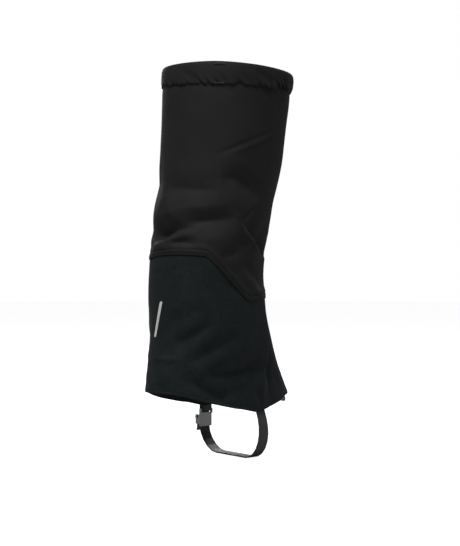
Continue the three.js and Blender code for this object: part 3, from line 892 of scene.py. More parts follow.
@dataclass
class StitchRow:
    """A row of lock stitches lying in the cloth."""

    pitch: float = 2.6
    length: float = 1.6
    thickness: float = 0.52
    glance: float = 0.0008

    def sew(self, name: str, path: Array, outward: Array) -> Piece:
        """Lays stitches along a path.

        Args:
            name: Name of the row.
            path: Close points in metres.
            outward: Direction off the cloth at each point.

        Returns:
            The row as one piece.
        """
        travel = np.concatenate([[0], np.cumsum(np.linalg.norm(np.diff(path, axis=0), axis=1))])
        count = max(2, int(travel[-1] / (self.pitch * MM)))

        def at(mark: float, rows: Array) -> Vector:
            """Reads rows of x, y and z at a distance along the path."""
            return Vector([np.interp(mark, travel, rows[:, k]) for k in range(3)])

        size = Matrix.Diagonal((self.length * MM / 2, self.thickness * MM / 2, self.thickness * MM / 2, 1))
        bm = bmesh.new()
        for mark in (np.arange(count) + 0.5) * travel[-1] / count:
            here = at(mark, path)
            way = (at(mark + self.glance, path) - here).normalized()
            across = at(mark, outward).normalized().cross(way).normalized()
            turn = Matrix((way, across, way.cross(across))).transposed().to_4x4()
            bmesh.ops.create_uvsphere(bm, u_segments=6, v_segments=5, radius=1.0,
                                      matrix=Matrix.Translation(here) @ turn @ size)
        return Workshop.link(name, bm)


@dataclass
class LegSheet:
    """A piece cut to lie on the leg between two edges; columns run up the leg, rows run round it."""

    bench: Bench
    name: str
    angle_at: AngleLine
    low: Edge
    high: Edge
    offset: Stand
    columns: int = 12
    rows: int = 40
    thickness: float = 0.5
    bevel: float = 0.12
    turn: Turn | None = None
    flip: bool = False
    radius: float = 70
    close_rows: tuple[float, ...] = (1.3, 2.0, 2.8, 3.6, 4.6, 5.6, 6.4, 7.2, 8.0, 9.2, 10.6, 12.4)

    def marks(self, share: Array, tall: Array) -> Array:
        """Distances along the cloth for each row share, close together at a turned edge.

        Args:
            share: Row shares from 0 to 1.
            tall: Height of the sheet at each point.

        Returns:
            Millimetres along the cloth.
        """
        if self.turn is None:
            return share * tall
        bend = self.turn.radius * math.pi / 2
        steps = (-self.turn.under, -self.turn.under / 2, -bend, -bend / 2, 0, bend / 2, bend, *self.close_rows)
        row = share * self.rows
        last = len(steps) - 1
        spread = steps[-1] + (row - last) / (self.rows - last) * (tall - steps[-1])
        return np.where(row <= last, np.interp(row, np.arange(last + 1), steps), spread)

    def place(self, s: Array, t: Array) -> tuple[Array, Array]:
        """Points and pattern coordinates of the sheet for its two shares.

        Args:
            s: Shares round the leg.
            t: Shares up the sheet.

        Returns:
            Points in metres and pattern coordinates in metres.
        """
        low = self.bench.settle(self.low, self.angle_at, s)
        high = self.bench.settle(self.high, self.angle_at, s)
        q = self.marks(t, high - low)
        rise = q if self.turn is None else self.turn.lift(q)
        height = low + rise
        angle = self.angle_at(s, height)
        off = self.offset(s, rise, height) - (0 if self.turn is None else self.turn.depth(q))
        points = self.bench.on_cloth(angle, height, off)
        return points, np.stack([np.radians(angle) * self.radius, low + q], -1) * MM

    def build(self) -> Piece:
        """Makes the sheet with its thickness."""
        obj = Workshop.grid(self.name, self.columns, self.rows, self.place, flip=self.flip)
        return Workshop.thicken(obj, self.thickness, self.bevel)


# Sub-assemblies.
@dataclass
class Seams:
    """Stitch rows sewn through the cloth."""

    bench: Bench
    row: StitchRow = field(default_factory=StitchRow)

    def along(self, name: str, angle: Array, height: Array, offset: float, body: str = "shell",
              finish: str = "thread", row: StitchRow | None = None) -> Piece:
        """Sews a row along points of the cloth.

        Args:
            name: Name of the row.
            angle: Angle at each point.
            height: Height at each point.
            offset: Millimetres off the form.
            body: Body that the row rides on, or an empty text where it rides on none.
            finish: Name of the thread's finish.
            row: Stitch sizes, where they aren't the usual ones.

        Returns:
            The row.
        """
        path = self.bench.on_cloth(angle, height, offset)
        outward = self.bench.on_cloth(angle, height, offset + 1) - path
        obj = (row or self.row).sew(name, path, outward)
        return self.bench.dress(obj, finish, "thread", body=body)


@dataclass(frozen=True)
class Gathers:
    """Uneven bunching of the cloth where the elastic draws the cuff seam in."""

    skew: float = -0.75
    seam: float = 440.5
    sway: Route = ((2.2, 5, 0.7), (1.1, 9, 2.1))
    coarse: tuple[float, float] = (1.5, 10)
    fine: tuple[float, float, float] = (0.55, 16, 1.0)
    level: float = 1.2
    hardest: float = 72
    easiest: float = 215
    share: float = 0.85
    hard_gain: float = 0.75
    hard_width: float = 0.5
    easy_loss: float = 0.42
    easy_width: float = 30
    ripple: float = 0.14

    def wave(self, angle: Array, height: Array) -> Array:
        """Waves of the bunched cloth, from about -1 at the pinches to about 1.

        Args:
            angle: Degrees round the leg.
            height: Heights in millimetres.

        Returns:
            The wave at each place.
        """
        a = np.radians(angle + self.skew * (height - self.seam))
        slow = sum(size * np.sin(a * count + start) for size, count, start in self.sway)
        coarse = self.coarse[0] * np.abs(np.sin(a * self.coarse[1] + slow))
        return coarse + self.fine[0] * np.abs(np.sin(a * self.fine[1] - slow + self.fine[2])) - self.level

    def strength(self, angle: Array) -> Array:
        """How hard the cloth is gathered round the leg: most at the front of the outer side.

        Args:
            angle: Degrees round the leg.

        Returns:
            The strength at each angle.
        """
        a = np.radians((angle - self.hardest + 180) % 360 - 180)
        easy = np.exp(-(((angle - self.easiest) / self.easy_width) ** 2))
        hard = self.hard_gain * np.exp(-((a / self.hard_width) ** 2))
        return self.share + hard + self.ripple * np.sin(3 * a + 1) - self.easy_loss * easy


@dataclass
class Panels:
    """The two cloth panels: the upper one laps over the lower one at the yoke seam."""

    bench: Bench
    columns: int = 236
    upper_rows: int = 132
    lower_rows: int = 84
    middle: float = 0.9
    lap_middle: float = 1.95
    lap_depth: float = 9.0
    lap_ramp: float = 7.0
    upper_tail: float = 4.5
    lower_tail: float = 7.0
    cloth: float = 0.5
    rows_above_edge: tuple[float, float] = (1.7, 6.6)
    hem_row: float = 2.3
    yoke_groove: float = 0.75
    hem_groove: float = 0.4
    row_width: float = 0.6
    yoke_pucker: float = 0.24
    yoke_pucker_rise: float = 4.1
    yoke_pucker_fade: float = 4.2
    hem_pucker: float = 0.22
    hem_pucker_rise: float = 2.4
    hem_pucker_fade: float = 4
    pinch_level: float = 0.9
    pinch_wave: float = 0.5
    pinch_fade: float = 5
    under_lap: float = 0.45
    hook_room: float = 0.7
    hook_angle: float = 9
    hook_height: float = 7
    gathers: Gathers = Gathers()

    def groove(self, rise: Array, marks: tuple[float, ...], depth: float) -> Array:
        """Dent of stitch rows at each height above the edge."""
        return -depth * sum(np.exp(-(((rise - m) / self.row_width) ** 2)) for m in marks)

    def pucker(self, angle: Array, seed: float) -> Array:
        """Uneven short waves along a seam."""
        a = angle + seed
        return (np.sin(a * 1.21) + 0.8 * np.sin(a * 0.83 + 1.3) + 0.6 * np.sin(a * 1.93 + 0.4)) / 2.4

    def upper_offset(self, s: Array, rise: Array, height: Array) -> Array:
        """Stand of the upper cloth off the form.

        Args:
            s: Shares round the leg.
            rise: Millimetres above the folded edge.
            height: Heights in millimetres.

        Returns:
            Millimetres off the form.
        """
        ramp = np.clip((rise - self.lap_depth) / self.lap_ramp, 0, 1)
        stand = self.lap_middle + (self.middle - self.lap_middle) * ramp * ramp * (3 - 2 * ramp)
        near = np.exp(-(((rise - self.yoke_pucker_rise) / self.yoke_pucker_fade) ** 2))
        angle = self.bench.form.shell_angle(s, height)
        below = self.bench.form.seam_height(angle) - height
        wave = self.pinch_level - self.pinch_wave * self.gathers.wave(angle, height)
        pinch = np.exp(-np.abs(below) / self.pinch_fade) * wave
        groove = self.groove(rise, self.rows_above_edge, self.yoke_groove)
        return stand + groove + self.yoke_pucker * near * self.pucker(angle, 0) - pinch

    def lower_offset(self, s: Array, rise: Array, height: Array) -> Array:
        """Stand of the lower cloth off the form.

        Args:
            s: Shares round the leg.
            rise: Millimetres above the folded edge.
            height: Heights in millimetres.

        Returns:
            Millimetres off the form.
        """
        angle = self.bench.form.shell_angle(s, height)
        near = np.exp(-(((rise - self.hem_pucker_rise) / self.hem_pucker_fade) ** 2))
        under = np.clip((height - self.bench.form.yoke_height(angle) + 2) / 3, 0, 1)
        toe = np.minimum(np.abs(angle), np.abs(angle - 360))
        room = self.hook_room * np.exp(-((toe / self.hook_angle) ** 2) - (rise / self.hook_height) ** 2)
        groove = self.groove(rise, (self.hem_row,), self.hem_groove)
        return self.middle - self.under_lap * under + groove + room + self.hem_pucker * near * self.pucker(angle, 40)

    def build(self) -> None:
        """Makes both panels, the seam tape behind the yoke and the stitching."""
        bench, form = self.bench, self.bench.form
        upper = LegSheet(bench, "upper_cloth", form.shell_angle, form.yoke_height,
                         above(form.seam_height, self.upper_tail), self.upper_offset, self.columns,
                         self.upper_rows, self.cloth, 0, Turn(0.26, 6.5)).build()
        bench.dress(upper, "upper", "upper_cloth", "upper_panel")
        lower = LegSheet(bench, "lower_cloth", form.shell_angle, form.hem_height,
                         above(form.yoke_height, self.lower_tail), self.lower_offset, self.columns,
                         self.lower_rows, self.cloth, 0, Turn(0.85, 12)).build()
        bench.dress(lower, "lower", "lower_cloth", "lower_panel", "hem_facing")
        # A near-black strip peeking out below the yoke's folded edge: painted shadow under the edge.
        seam_shadow_strip = LegSheet(bench, "yoke_seam_shadow_strip", form.shell_angle, above(form.yoke_height, -0.75),
                          above(form.yoke_height, 0.9), even(1.1), 300, 3, 0.5).build()
        bench.dress(seam_shadow_strip, "seam_shadow_strip", "tape")
        tape = LegSheet(bench, "yoke_tape", form.shell_angle, above(form.yoke_height, -9),
                        above(form.yoke_height, 4), even(-0.7), 180, 6, 0.4).build()
        bench.dress(tape, "tape", "tape", "yoke_seam_tape")
        self.stitch()

    def stitch(self) -> None:
        """Sews the double row over the yoke and the hem row."""
        form, seams = self.bench.form, Seams(self.bench)
        s = np.linspace(0.004, 0.996, 900)
        base = self.bench.settle(form.yoke_height, form.shell_angle, s)
        for k, rise in enumerate(self.rows_above_edge):
            height = base + rise
            seams.along(f"yoke_stitches_{k + 1}", form.shell_angle(s, height), height,
                        self.lap_middle + self.cloth / 2 - 0.12)
        # The hem row uses the lighter hem thread: real stitches that carry a painted highlight along the hem.
        height = self.bench.settle(form.hem_height, form.shell_angle, s) + self.hem_row
        seams.along("hem_stitches", form.shell_angle(s, height), height, self.middle + self.cloth / 2 - 0.1,
                    finish="hem_thread")


@dataclass
class Cuff:
    """The gathered cuff tunnel at the top, its elastic, its seam and its bartacks."""

    bench: Bench
    columns: int = 560
    profile: Table = (
        (0.9, 444.0), (0.7, 441.6), (0.7, 440.5), (1.2, 440.9), (1.9, 442.8), (2.4, 446), (2.6, 450), (2.6, 456),
        (2.2, 461), (1.5, 464.8), (0.4, 466.6), (-0.8, 465.6), (-1.5, 462), (-1.75, 456), (-1.7, 449.5), (-1.35, 444),
        (-0.5, 439.5), (-0.2, 435),
    )
    gathers: Gathers = Gathers()
    front_fullness: float = 1.85
    front_turn: float = 10
    front_reach: float = 2.2
    front_start: float = 1.1
    front_ease: float = 0.8
    fullness_rise: float = 4
    inner_edge: float = 0.2
    inner_fade: float = 1.3
    rim_height: float = 26
    rim_drop: float = 4.5
    rim_power: float = 1.3
    lowest: float = 52
    rim_lift: float = 0.9
    highest: float = 215
    highest_width: float = 28
    puff_rise: float = 1.8
    puff_top: float = 2.2
    puff_fade: float = 3.4
    puff_base: float = 0.1
    puff_gain: float = 1.5
    droop: float = 3.6
    droop_height: float = 1.5
    droop_fade: float = 3.2
    droop_least: float = -0.6
    stand: float = 1.2
    girth: float = 430
    end_fade: float = 5
    end_share: float = 0.25
    swell: float = 0.35
    radius: float = 78
    rows: int = 52
    cloth: float = 0.45
    creases: tuple[Fold, ...] = (
        Fold(((170, 457), (160, 449), (150, 440)), -0.55, 3.2, 3.2, 1.2, 1.2),
        Fold(((134, 450), (130, 445), (126, 440)), -0.45, 2.8, 2.8, 1.2, 1.2),
        Fold(((103, 459), (93, 451), (79, 439)), -0.75, 4.2, 3.2, 1.2, 1.2),
        Fold(((118, 453), (110, 445), (106, 440)), -0.5, 3.0, 3.0, 1.2, 1.2),
        Fold(((72, 455), (66, 447), (60, 440)), -0.6, 3.4, 3.0, 1.2, 1.2),
        Fold(((192, 451), (184, 441)), -0.4, 3.0, 3.0, 1.2, 1.2),
        Fold(((214, 455), (206, 441)), -0.5, 3.4, 3.4, 1.2, 1.2),
        Fold(((252, 456), (262, 441)), -0.5, 4.0, 3.4, 1.2, 1.2),
        Fold(((300, 455), (292, 441)), -0.5, 3.4, 3.4, 1.2, 1.2),
        Fold(((46, 452), (42, 441)), -0.4, 3.0, 3.0, 1.2, 1.2),
    )

    def place(self, s: Array, t: Array) -> tuple[Array, Array]:
        """Points of the tunnel, round the leg and over its section.

        Args:
            s: Shares round the leg.
            t: Shares round the section of the tunnel.

        Returns:
            Points in metres and pattern coordinates in metres.
        """
        bench, form = self.bench, self.bench.form
        table = np.array(self.profile)
        length = np.concatenate([[0], np.cumsum(np.hypot(*np.diff(table, axis=0).T))])
        along = t * length[-1]
        offset = self.eased(along, length, table[:, 0])
        height = self.eased(along, length, table[:, 1])
        angle = form.shell_angle(s, height)
        rise = height - form.cuff_seam
        share = np.clip(rise / self.rim_height, 0, 1)
        front = np.clip(np.cos(np.radians(angle + self.front_turn)) * self.front_reach - self.front_start, 0, 1)
        fuller = 1 + (self.front_fullness - 1) * front * np.clip(share * self.fullness_rise, 0, 1)
        offset = offset * np.where(offset > 0, fuller, 1)
        outside = np.clip((offset + self.inner_edge) / self.inner_fade, 0, 1)
        wave = self.gathers.wave(angle, height)
        hard = self.gathers.strength(angle) * (1 - self.front_ease * front)
        puff = np.clip(rise / self.puff_rise, 0, 1) * np.exp(-np.maximum(rise - self.puff_top, 0) / self.puff_fade)
        push = hard * (self.puff_base + self.puff_gain * wave) * puff * outside
        near = np.exp(-np.abs(rise - self.droop_height) / self.droop_fade)
        droop = hard * self.droop * np.maximum(wave, self.droop_least) * near * outside
        places = form.points(angle, height, 0)
        outward = (places - np.array([0, form.ankle_y * MM, 0])) * (1, 1, 0)
        for fold in self.creases:
            push = push + bench.folds.one(fold, places, outward) * outside
        ends = np.clip(np.minimum(s, 1 - s) * self.girth / self.end_fade, 0, 1) ** 0.5
        kept = self.end_share + (1 - self.end_share) * ends
        offset = self.stand + (offset - self.stand) * kept + push * ends
        swell = self.swell * bench.folds.swell.at(places)
        drop = (self.rim_drop * np.clip(np.cos(np.radians(angle - self.lowest)), 0, 1) ** self.rim_power
                - self.rim_lift * np.exp(-(((angle - self.highest) / self.highest_width) ** 2)))
        shifted = height + form.edge(form.cuff_shift, angle) * (1 - share) - drop * share - droop
        pattern = np.stack([np.radians(angle) * self.radius, along], -1) * MM
        return form.points(angle, shifted, offset + swell), pattern

    @staticmethod
    def eased(along: Array, length: Array, values: Array) -> Array:
        """Reads a table along the section with its corners rounded.

        Args:
            along: Where the table is read.
            length: Travel at each of its rows.
            values: Value at each of its rows.

        Returns:
            The eased values.
        """
        shifts = (-1.2, -0.6, 0, 0.6, 1.2)
        return sum(np.interp(np.clip(along + d, 0, length[-1]), length, values) for d in shifts) / len(shifts)

    def build(self) -> None:
        """Makes the tunnel, the elastic, the seam stitches and the bartacks."""
        bench, form = self.bench, self.bench.form
        tunnel = Workshop.grid("cuff_cloth", self.columns, self.rows, self.place, flip=False)
        Workshop.thicken(tunnel, self.cloth)
        bench.dress(tunnel, "upper", "upper_cloth", "cuff_tunnel")
        band = LegSheet(bench, "elastic_band", lambda s, h: form.shell_angle(0.02 + 0.96 * s, h),
                        level(450), level(460), lambda s, q, h: -0.35 + 0.1 * np.sin(s * 900), 300, 8, 0.8,
                        0.15).build()
        bench.dress(band, "elastic", "elastic", "cuff_elastic")
        self.stitch()

    def stitch(self) -> None:
        """Sews the cuff seam and the bartacks over it."""
        form, seams = self.bench.form, Seams(self.bench)
        s = np.linspace(0.01, 0.99, 900)
        angle = form.shell_angle(s, form.cuff_seam + 0 * s)
        height = form.seam_height(angle) - 0.2
        seams.along("cuff_stitches", angle, height, 1.55)
        tack = StitchRow(pitch=0.42, length=0.36, thickness=2.2)
        # The bartacks use the pale thread: dark grey stitching with painted sheen in its colour.
        for name, end, height, offset in (("rim_bartack", 139, 462.4, 2.45), ("seam_bartack", 138, 440.2, 2.1)):
            angle = np.linspace(130, end, 60)
            obj = seams.along(f"{name}_thread", angle, height + 0 * angle, offset, finish="pale_thread", row=tack)
            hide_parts(name)


@dataclass
class ReflectiveStrip:
    """The upright reflective strip at the heel, with rounded ends."""

    bench: Bench
    low: float = 146.0
    high: float = 188.0
    width: float = 4.8
    stand: float = 1.5
    radius: float = 70
    narrowest: float = 0.02

    def centre(self, height: Array) -> Array:
        """Angle of the strip's middle at each height."""
        return np.interp(height, (147, 188), (186.4, 174.9))

    def place(self, s: Array, t: Array) -> tuple[Array, Array]:
        """Points of the strip, which narrows to round ends.

        Args:
            s: Shares across the strip.
            t: Shares up the strip.

        Returns:
            Points in metres and pattern coordinates in metres.
        """
        height = self.low + (self.high - self.low) * t
        end = np.minimum(height - self.low, self.high - height) / (self.width / 2)
        half = self.width / 2 * np.sqrt(np.clip(1 - (1 - np.clip(end, self.narrowest, 1)) ** 2, 0, 1))
        angle = self.centre(height) + np.degrees((2 * s - 1) * half / self.radius)
        return self.bench.on_cloth(angle, height, self.stand), np.stack([(2 * s - 1) * half, height], -1) * MM

    def build(self) -> None:
        """Makes the strip."""
        strip = Workshop.grid("reflective_strip_tape", 6, 60, self.place, flip=False)
        Workshop.thicken(strip, 0.4, 0.1)
        self.bench.dress(strip, "reflective", "reflective", "reflective_strip")


@dataclass
class Closure:
    """The front closing: hook strips and bindings on the shell, flaps with loop strips over them."""

    bench: Bench
    root_x: float = 38.0
    free_x: float = 1.5
    blend_end_x: float = 27.0
    hook_from: float = 25.0
    hook_to: float = 5.0
    flap_width: float = 36
    row_inset: float = 3
    stand: float = 3.85
    crown: float = 1.1
    crown_rise: float = 5
    rolled: float = 0.35
    roll: float = 1.2
    row_dent: float = 0.25
    row_width: float = 0.6
    wave: float = 0.3
    wave_height: float = 9.5

    def across(self, start: float, end: float) -> AngleLine:
        """Angle lines between two distances from the front middle, straight up the leg.

        Args:
            start: Distance of the first line from the front middle.
            end: Distance of the second line.

        Returns:
            The angle at a share between the lines, for each height.
        """
        form = self.bench.form

        def angle_at(s: Array, height: Array) -> Array:
            """Angle at share s between the two lines."""
            first = form.front_angle(start, height)
            return first + (form.front_angle(end, height) - first) * s

        return angle_at

    def strip(self, name: str, node: str, lines: tuple[float, float], low: Edge, high: Edge, offset: float,
              thickness: float, finish: str, slot: str, body: str = "shell") -> None:
        """Makes one sewn strip with a stitch row along each long side.

        Args:
            name: Name of the strip.
            node: Part that it stands for.
            lines: Distances of its two sides from the front middle.
            low: Its lower edge.
            high: Its upper edge.
            offset: Millimetres off the form.
            thickness: Millimetres through.
            finish: Name of its finish.
            slot: Material slot of the record.
            body: Body that it rides on.
        """
        bench = self.bench
        angle_at = self.across(*lines)
        obj = LegSheet(bench, name, angle_at, low, high, even(offset), 14, 90, thickness, 0.2, flip=True).build()
        bench.dress(obj, finish, slot, node, body=body)
        face = offset + thickness / 2 - 0.08
        for k, share in enumerate((0.07, 0.93)):
            line = np.full(300, share)
            t = np.linspace(0.01, 0.99, 300)
            start, end = bench.settle(low, angle_at, line), bench.settle(high, angle_at, line)
            height = start + (end - start) * t
            Seams(bench).along(f"{name}_stitches_{k + 1}", angle_at(line, height), height, face, body)

    def flap(self, half: str, low: Edge, high: Edge, rows: int, flat: tuple[float, float]) -> None:
        """Makes one flap with its edge stitches.

        Args:
            half: Which flap: upper or lower.
            low: Its lower edge.
            high: Its upper edge.
            rows: Cells up the flap.
            flat: Not used.
        """
        bench, body, name = self.bench, f"{half}_flap", f"{half}_flap_cloth"
        angle_at = self.across(self.root_x + 2.5, self.free_x)

        def stand(s: Array, q: Array, height: Array) -> Array:
            """Stand of the flap off the form.

            Args:
                s: Shares from the sewn edge to the free edge.
                q: Millimetres above the lower edge.
                height: Heights in millimetres.

            Returns:
                Millimetres off the form.
            """
            span = np.maximum(bench.settle(high, angle_at, s) - bench.settle(low, angle_at, s), 1)
            ends = np.minimum(q, span - q)
            side = (1 - s) * self.flap_width
            rolled = self.rolled * np.exp(-ends / self.roll) + self.rolled * np.exp(-side / self.roll)
            dents = sum(np.exp(-((gap - self.row_inset) / self.row_width) ** 2) for gap in (side, ends))
            wave = self.wave * np.sin(height / self.wave_height + 2 * s) * s
            crown = self.crown * np.clip(s * self.crown_rise, 0, 1)
            return self.stand + crown - rolled - self.row_dent * dents + wave

        obj = LegSheet(bench, name, angle_at, low, high, stand, 40, rows, 0.8, 0.25, flip=True).build()
        bench.dress(obj, half, f"{half}_cloth", body, body="")
        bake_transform(obj)
        inset, near, far, short, long = self.row_inset, 0.2, 0.92, 120, 500
        s = np.concatenate([np.linspace(near, far, short), np.full(long, far), np.linspace(far, near, short)])
        first, last = bench.settle(low, angle_at, s) + inset, bench.settle(high, angle_at, s) - inset
        t = np.concatenate([np.zeros(short), np.linspace(0, 1, long), np.ones(short)])
        height = first + (last - first) * t
        span = np.maximum(last - first + 2 * inset, 1)
        offset = stand(s, inset + t * (span - 2 * inset), height) + 0.36
        row = Seams(bench).along(f"{name}_stitches", angle_at(s, height), height, offset, body="")
        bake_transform(row)

    def build(self) -> None:
        """Makes every strip, binding and flap."""
        form = self.bench.form
        upper_low = above(form.yoke_height, 18)
        halves = (("upper", upper_low, level(432)), ("lower", above(form.hem_height, 8), above(form.yoke_height, -8)))
        for kind, stand in (("hook", 2.3), ("loop", 3.55)):
            for half, low, high in halves:
                self.strip(f"{half}_{kind}_tape", f"{half}_{kind}_strip", (self.hook_from, self.hook_to), low, high,
                           stand, 0.8, "pile", "hook_tape", "shell" if kind == "hook" else f"{half}_flap")
        for half, low, high in (("upper", upper_low, level(437)),
                                ("lower", above(form.hem_height, 2), above(form.yoke_height, -3))):
            self.strip(f"{half}_binding_tape", f"{half}_binding", (self.root_x + 8, self.root_x + 1.5), low, high,
                       2.4, 1.0, "tape", "tape")

        def free(angle: Array) -> Array:
            """Share of the way from a flap's sewn edge to its free edge."""
            return np.clip(1 + angle / self.root_x, 0, None)

        self.flap("upper", lambda a: form.yoke_height(a) + 0.6 + 2.2 * free(a), level(438), 120, (0.044, 0.262))
        self.flap("lower", form.hem_height, lambda a: form.yoke_height(a) - 0.6 - 3 * free(a), 64, (0.046, 0.146))


@dataclass
class CuffTab:
    """The webbing tab that closes the cuff with a press snap."""

    bench: Bench
    height: float = 454.0
    half: float = 9.0
    free_x: float = 4.0
    root_x: float = 40.0
    stand: float = 7.25
    cup: float = 0.35

    def place(self, s: Array, t: Array) -> tuple[Array, Array]:
        """Points of the tab, whose free end is rounded.

        Args:
            s: Shares along the tab.
            t: Shares across the tab.

        Returns:
            Points in metres and pattern coordinates in metres.
        """
        form = self.bench.form
        reach = (self.root_x - self.free_x) * (1 - s)
        half = np.where(reach < self.half, self.half * np.sqrt(np.clip(1 - (1 - reach / self.half) ** 4, 0.03, 1)),
                        self.half)
        height = self.height + (2 * t - 1) * half
        x = self.root_x + (self.free_x - self.root_x) * s
        offset = self.stand - self.cup * (2 * t - 1) ** 2
        return form.points(form.front_angle(x, height), height, offset), np.stack([x, height], -1) * MM

    def build(self) -> None:
        """Makes the tab."""
        tab = Workshop.grid("cuff_tab_web", 46, 20, self.place, flip=True)
        Workshop.thicken(tab, 1.2, 0.35)
        self.bench.dress(tab, "webbing", "webbing", "cuff_tab", body="")
        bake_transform(tab)


@dataclass
class Instep:
    """The webbing strap under the boot, its anchors and its keeper."""

    bench: Bench
    width: float = 15.0
    thickness: float = 1.7
    line: Route = (
        (-46, 86, 0.16), (-45.8, 62, 0.16), (-47.6, 54.5, 0.15), (-50.6, 47, 0.12), (-52.6, 38, 0.08),
        (-53, 29, 0.04), (-51.3, 19.5, 0), (-47.4, 11, 0), (-41.2, 4, 0), (-34, 0.2, 0), (-28, -0.9, 0),
        (28, -0.9, 0), (36, 0.6, 0), (45, 5.4, 0), (52.6, 12.6, 0), (57.6, 21, 0), (59.5, 30, 0), (59.5, 96, 0),
    )
    bar: tuple[float, float] = (55.9, 49.5)
    bend: float = 2.2
    anchor_width: float = 14
    anchor_thickness: float = 0.95
    keeper_width: float = 17
    keeper_thickness: float = 0.9
    keeper_heights: tuple[float, float] = (76, 83)

    def anchor_line(self) -> Route:
        """The tab that hangs the buckle: down from the hem, round its bar and up again.

        Returns:
            x, z and turn of the middle line.
        """
        x, z = self.bar
        arc = [(x + self.bend * math.cos(a), z + self.bend * math.sin(a), 0.0)
               for a in (math.pi * (1 + k / 6) for k in range(7))]
        return ((x - self.bend, 92, 0.0), (x - self.bend, z + 3, 0.0), *arc, (x + 1.1, z + 5, 0.0),
                (x - 0.1, z + 9, 0.0), (x - 0.3, 72, 0.0))

    @staticmethod
    def band(name: str, line: Route, width: float, thickness: float, cells: int) -> Piece:
        """Makes a flat web along a line in the upright plane.

        Args:
            name: Name of the piece.
            line: x, z and turn of the middle line.
            width: Width along Y in millimetres.
            thickness: Thickness in millimetres.
            cells: Cells along the line.

        Returns:
            The web.
        """
        table = np.array(line, float)
        travel = np.concatenate([[0], np.cumsum(np.hypot(*np.diff(table[:, :2], axis=0).T))])

        def place(s: Array, t: Array) -> tuple[Array, Array]:
            """Points of the web for shares along and across it.

            Args:
                s: Shares along the web.
                t: Shares across the web.

            Returns:
                Points in metres and pattern coordinates in metres.
            """
            marks = s * travel[-1]
            shifts = (-1, -0.5, 0, 0.5, 1)
            x, z, turn = (sum(np.interp(np.clip(marks + d, 0, travel[-1]), travel, table[:, k]) for d in shifts)
                          / len(shifts) for k in range(3))
            y = (t - 0.5) * width
            return np.stack([x - turn * y, y, z], -1) * MM, np.stack([marks, y], -1) * MM

        obj = Workshop.grid(name, cells, 10, place)
        return Workshop.thicken(obj, thickness, min(0.45, thickness * 0.3))

    def build(self) -> None:
        """Makes the strap, its anchors and its keeper."""
        bench = self.bench
        strap = self.band("instep_strap_web", self.line, self.width, self.thickness, 220)
        bench.dress(strap, "webbing", "webbing", "instep_strap")
        anchor = self.band("buckle_anchor_web", self.anchor_line(), self.anchor_width, self.anchor_thickness, 60)
        bench.dress(anchor, "webbing", "webbing", "medial_anchor")
        for name, x, nodes in (("strap_keeper_web", 57.8, ("strap_keeper",)), ("strap_keeper_front", 61.7, ())):
            line = tuple((x, z, 0) for z in self.keeper_heights)
            keeper = self.band(name, line, self.keeper_width, self.keeper_thickness, 8)
            bench.dress(keeper, "webbing", "webbing", *nodes)
        patch = LegSheet(bench, "strap_patch", lambda s, h: 58 + 26 * s + 0 * h, level(64), level(90), even(-5.85),
                         16, 16, 0.85, 0.2).build()
        bench.dress(patch, "webbing", "webbing", "lateral_anchor")


@dataclass
class LaceTab:
    """The short webbing tab that holds the lace hook inside the front of the hem."""

    bench: Bench
    half: float = 6
    below: float = -8
    length: float = 25
    offset: float = -3.05
    heights: tuple[float, float] = (73.9, 93.9)

    def build(self) -> None:
        """Makes the tab on the slope of the hem."""
        base, up = (self.bench.form.points(0, height, 0) for height in self.heights)
        up = (up - base) / np.linalg.norm(up - base)
        out = np.array([0, -up[2], up[1]])

        def place(s: Array, t: Array) -> tuple[Array, Array]:
            """Points of the tab.

            Args:
                s: Shares across the tab.
                t: Shares along the tab.

            Returns:
                Points in metres and pattern coordinates in metres.
            """
            x, v = (2 * s - 1) * self.half, self.below + self.length * t
            points = base + (v[:, None] * up + self.offset * out) * MM + np.stack([x * MM, 0 * x, 0 * x], -1)
            return points, np.stack([v, x], -1) * MM

        tab = Workshop.grid("lace_tab_web", 12, 24, place, flip=True)
        Workshop.thicken(tab, 1.0, 0.3)
        self.bench.dress(tab, "webbing", "webbing", "lace_hook_tab")


@dataclass
class Hardware:
    """Steel parts that keep their shapes, with eased edges and a satin finish."""

    bench: Bench
    names: tuple[str, ...] = ("buckle_frame", "buckle_pin", "buckle_lever", "cuff_snap_stud", "cuff_snap_socket",
                              "cuff_snap_cap", "lace_hook", "lace_hook_rivet")
    easing: float = 0.18
    merge: float = 1e-6

    def build(self) -> None:
        """Dresses every steel part."""
        for name in self.names:
            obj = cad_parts[name]
            for slot in obj.material_slots:
                slot.material = self.bench.finishes["steel"]
            weld = obj.modifiers.new("weld", "WELD")
            weld.merge_threshold = self.merge
            Workshop.ease(obj, "easing", self.easing, 40)
            LOG.info("steel %s", name)


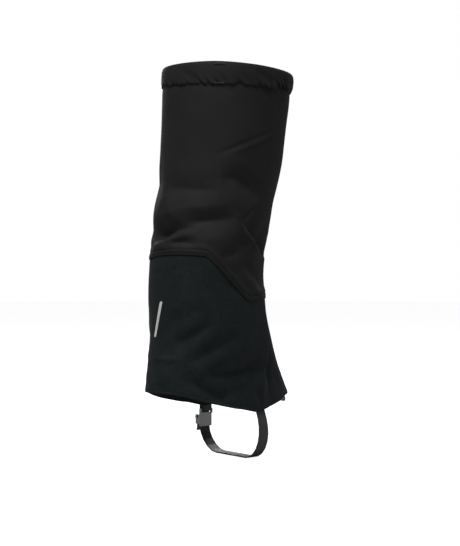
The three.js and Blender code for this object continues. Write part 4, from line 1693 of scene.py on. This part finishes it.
# Studio.
@dataclass
class Studio:
    """Pale floor, soft lights, white surroundings and the camera."""

    floor_height: float = -1.9
    floor_lift: float = 0.93
    camera_place: tuple[float, float, float] = (-1.1131, 0.9421, 0.221)
    camera_way: tuple[float, float, float] = (0.766, -0.643, 0.0)
    lens: float = 78.46
    aim: tuple[float, float, float] = (0.0, 0.02, 0.23)
    lamps: tuple[tuple[str, tuple[float, float, float], float, float], ...] = (
        ("key", (-0.50, 0.85, 2.15), 0.8, 41.5), ("fill", (-1.9, 0.9, 0.9), 1.6, 5),
        ("front", (1.0, -1.2, 1.8), 0.9, 28), ("inner", (1.6, -0.8, 1.2), 1.0, 16),
        ("rim_left", (1.1, 1.5, 0.6), 0.8, 0.5), ("rim_right", (-0.5, -1.9, 0.6), 0.8, 1),
    )

    def lamp(self, name: str, place: tuple[float, float, float], size: float, power: float) -> None:
        """Adds one soft square lamp that faces the gaiter.

        Args:
            name: Name of the lamp.
            place: Where it hangs, in metres.
            size: Length of its side in metres.
            power: Watts.
        """
        light = bpy.data.lights.new(name, "AREA")
        light.shape = "SQUARE"
        light.size = size
        light.energy = power
        obj = bpy.data.objects.new(name, light)
        obj.location = place
        obj.rotation_euler = (Vector(self.aim) - Vector(place)).to_track_quat("-Z", "Y").to_euler()
        bpy.context.scene.collection.objects.link(obj)

    def world(self) -> None:
        """White to the camera, soft grey light to everything else."""
        world = bpy.data.worlds.new("studio")
        world.use_nodes = True
        bpy.context.scene.world = world
        tree = world.node_tree
        back = Patterns.find(tree, "BACKGROUND")
        rays = tree.nodes.new("ShaderNodeLightPath")
        mix = tree.nodes.new("ShaderNodeMix")
        mix.data_type = "RGBA"
        mix.inputs["A"].default_value = (0.10, 0.102, 0.105, 1)
        mix.inputs["B"].default_value = (1, 1, 1, 1)
        tree.links.new(rays.outputs["Is Camera Ray"], mix.inputs["Factor"])
        tree.links.new(mix.outputs["Result"], back.inputs["Color"])

    def floor(self) -> None:
        """A wide pale floor under the strap."""
        bm = bmesh.new()
        bmesh.ops.create_circle(bm, cap_ends=True, segments=96, radius=8.0,
                                matrix=Matrix.Translation((0, 0, self.floor_height * MM)))
        obj = Workshop.link("floor", bm, smooth=False)
        material = bpy.data.materials.new("pale floor")
        material.use_nodes = True
        tree = material.node_tree
        shader = Patterns.find(tree, "BSDF_PRINCIPLED")
        for label, value in (("Base Color", (0.4, 0.4, 0.4, 1)), ("Roughness", 0.9), ("Specular IOR Level", 0.1),
                             ("Emission Color", (1, 1, 1, 1))):
            shader.inputs[label].default_value = value
        rays = tree.nodes.new("ShaderNodeLightPath")
        lift = Patterns.math(tree, "MULTIPLY", rays.outputs["Is Camera Ray"], self.floor_lift)
        tree.links.new(lift, shader.inputs["Emission Strength"])
        obj.data.materials.append(material)

    def build(self) -> None:
        """Sets the whole stage."""
        self.floor()
        self.world()
        for lamp in self.lamps:
            self.lamp(*lamp)
        self.camera()

    def camera(self) -> None:
        """Adds the camera and the plain view transform."""
        camera = bpy.data.cameras.new("camera")
        camera.lens = self.lens
        camera.sensor_width = 36
        camera.clip_start = 0.01
        obj = bpy.data.objects.new("camera", camera)
        obj.location = self.camera_place
        obj.rotation_euler = Vector(self.camera_way).to_track_quat("-Z", "Y").to_euler()
        bpy.context.scene.collection.objects.link(obj)
        bpy.context.scene.camera = obj
        bpy.context.scene.view_settings.view_transform = "Standard"


def main() -> None:
    """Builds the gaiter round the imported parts, then its stage."""
    bench = Bench()
    for made in (Panels(bench), Cuff(bench), ReflectiveStrip(bench), Closure(bench), CuffTab(bench), Instep(bench),
                 LaceTab(bench), Hardware(bench), Studio()):
        made.build()
        LOG.info("built %s", type(made).__name__)


if __name__ == "__main__":
    main()
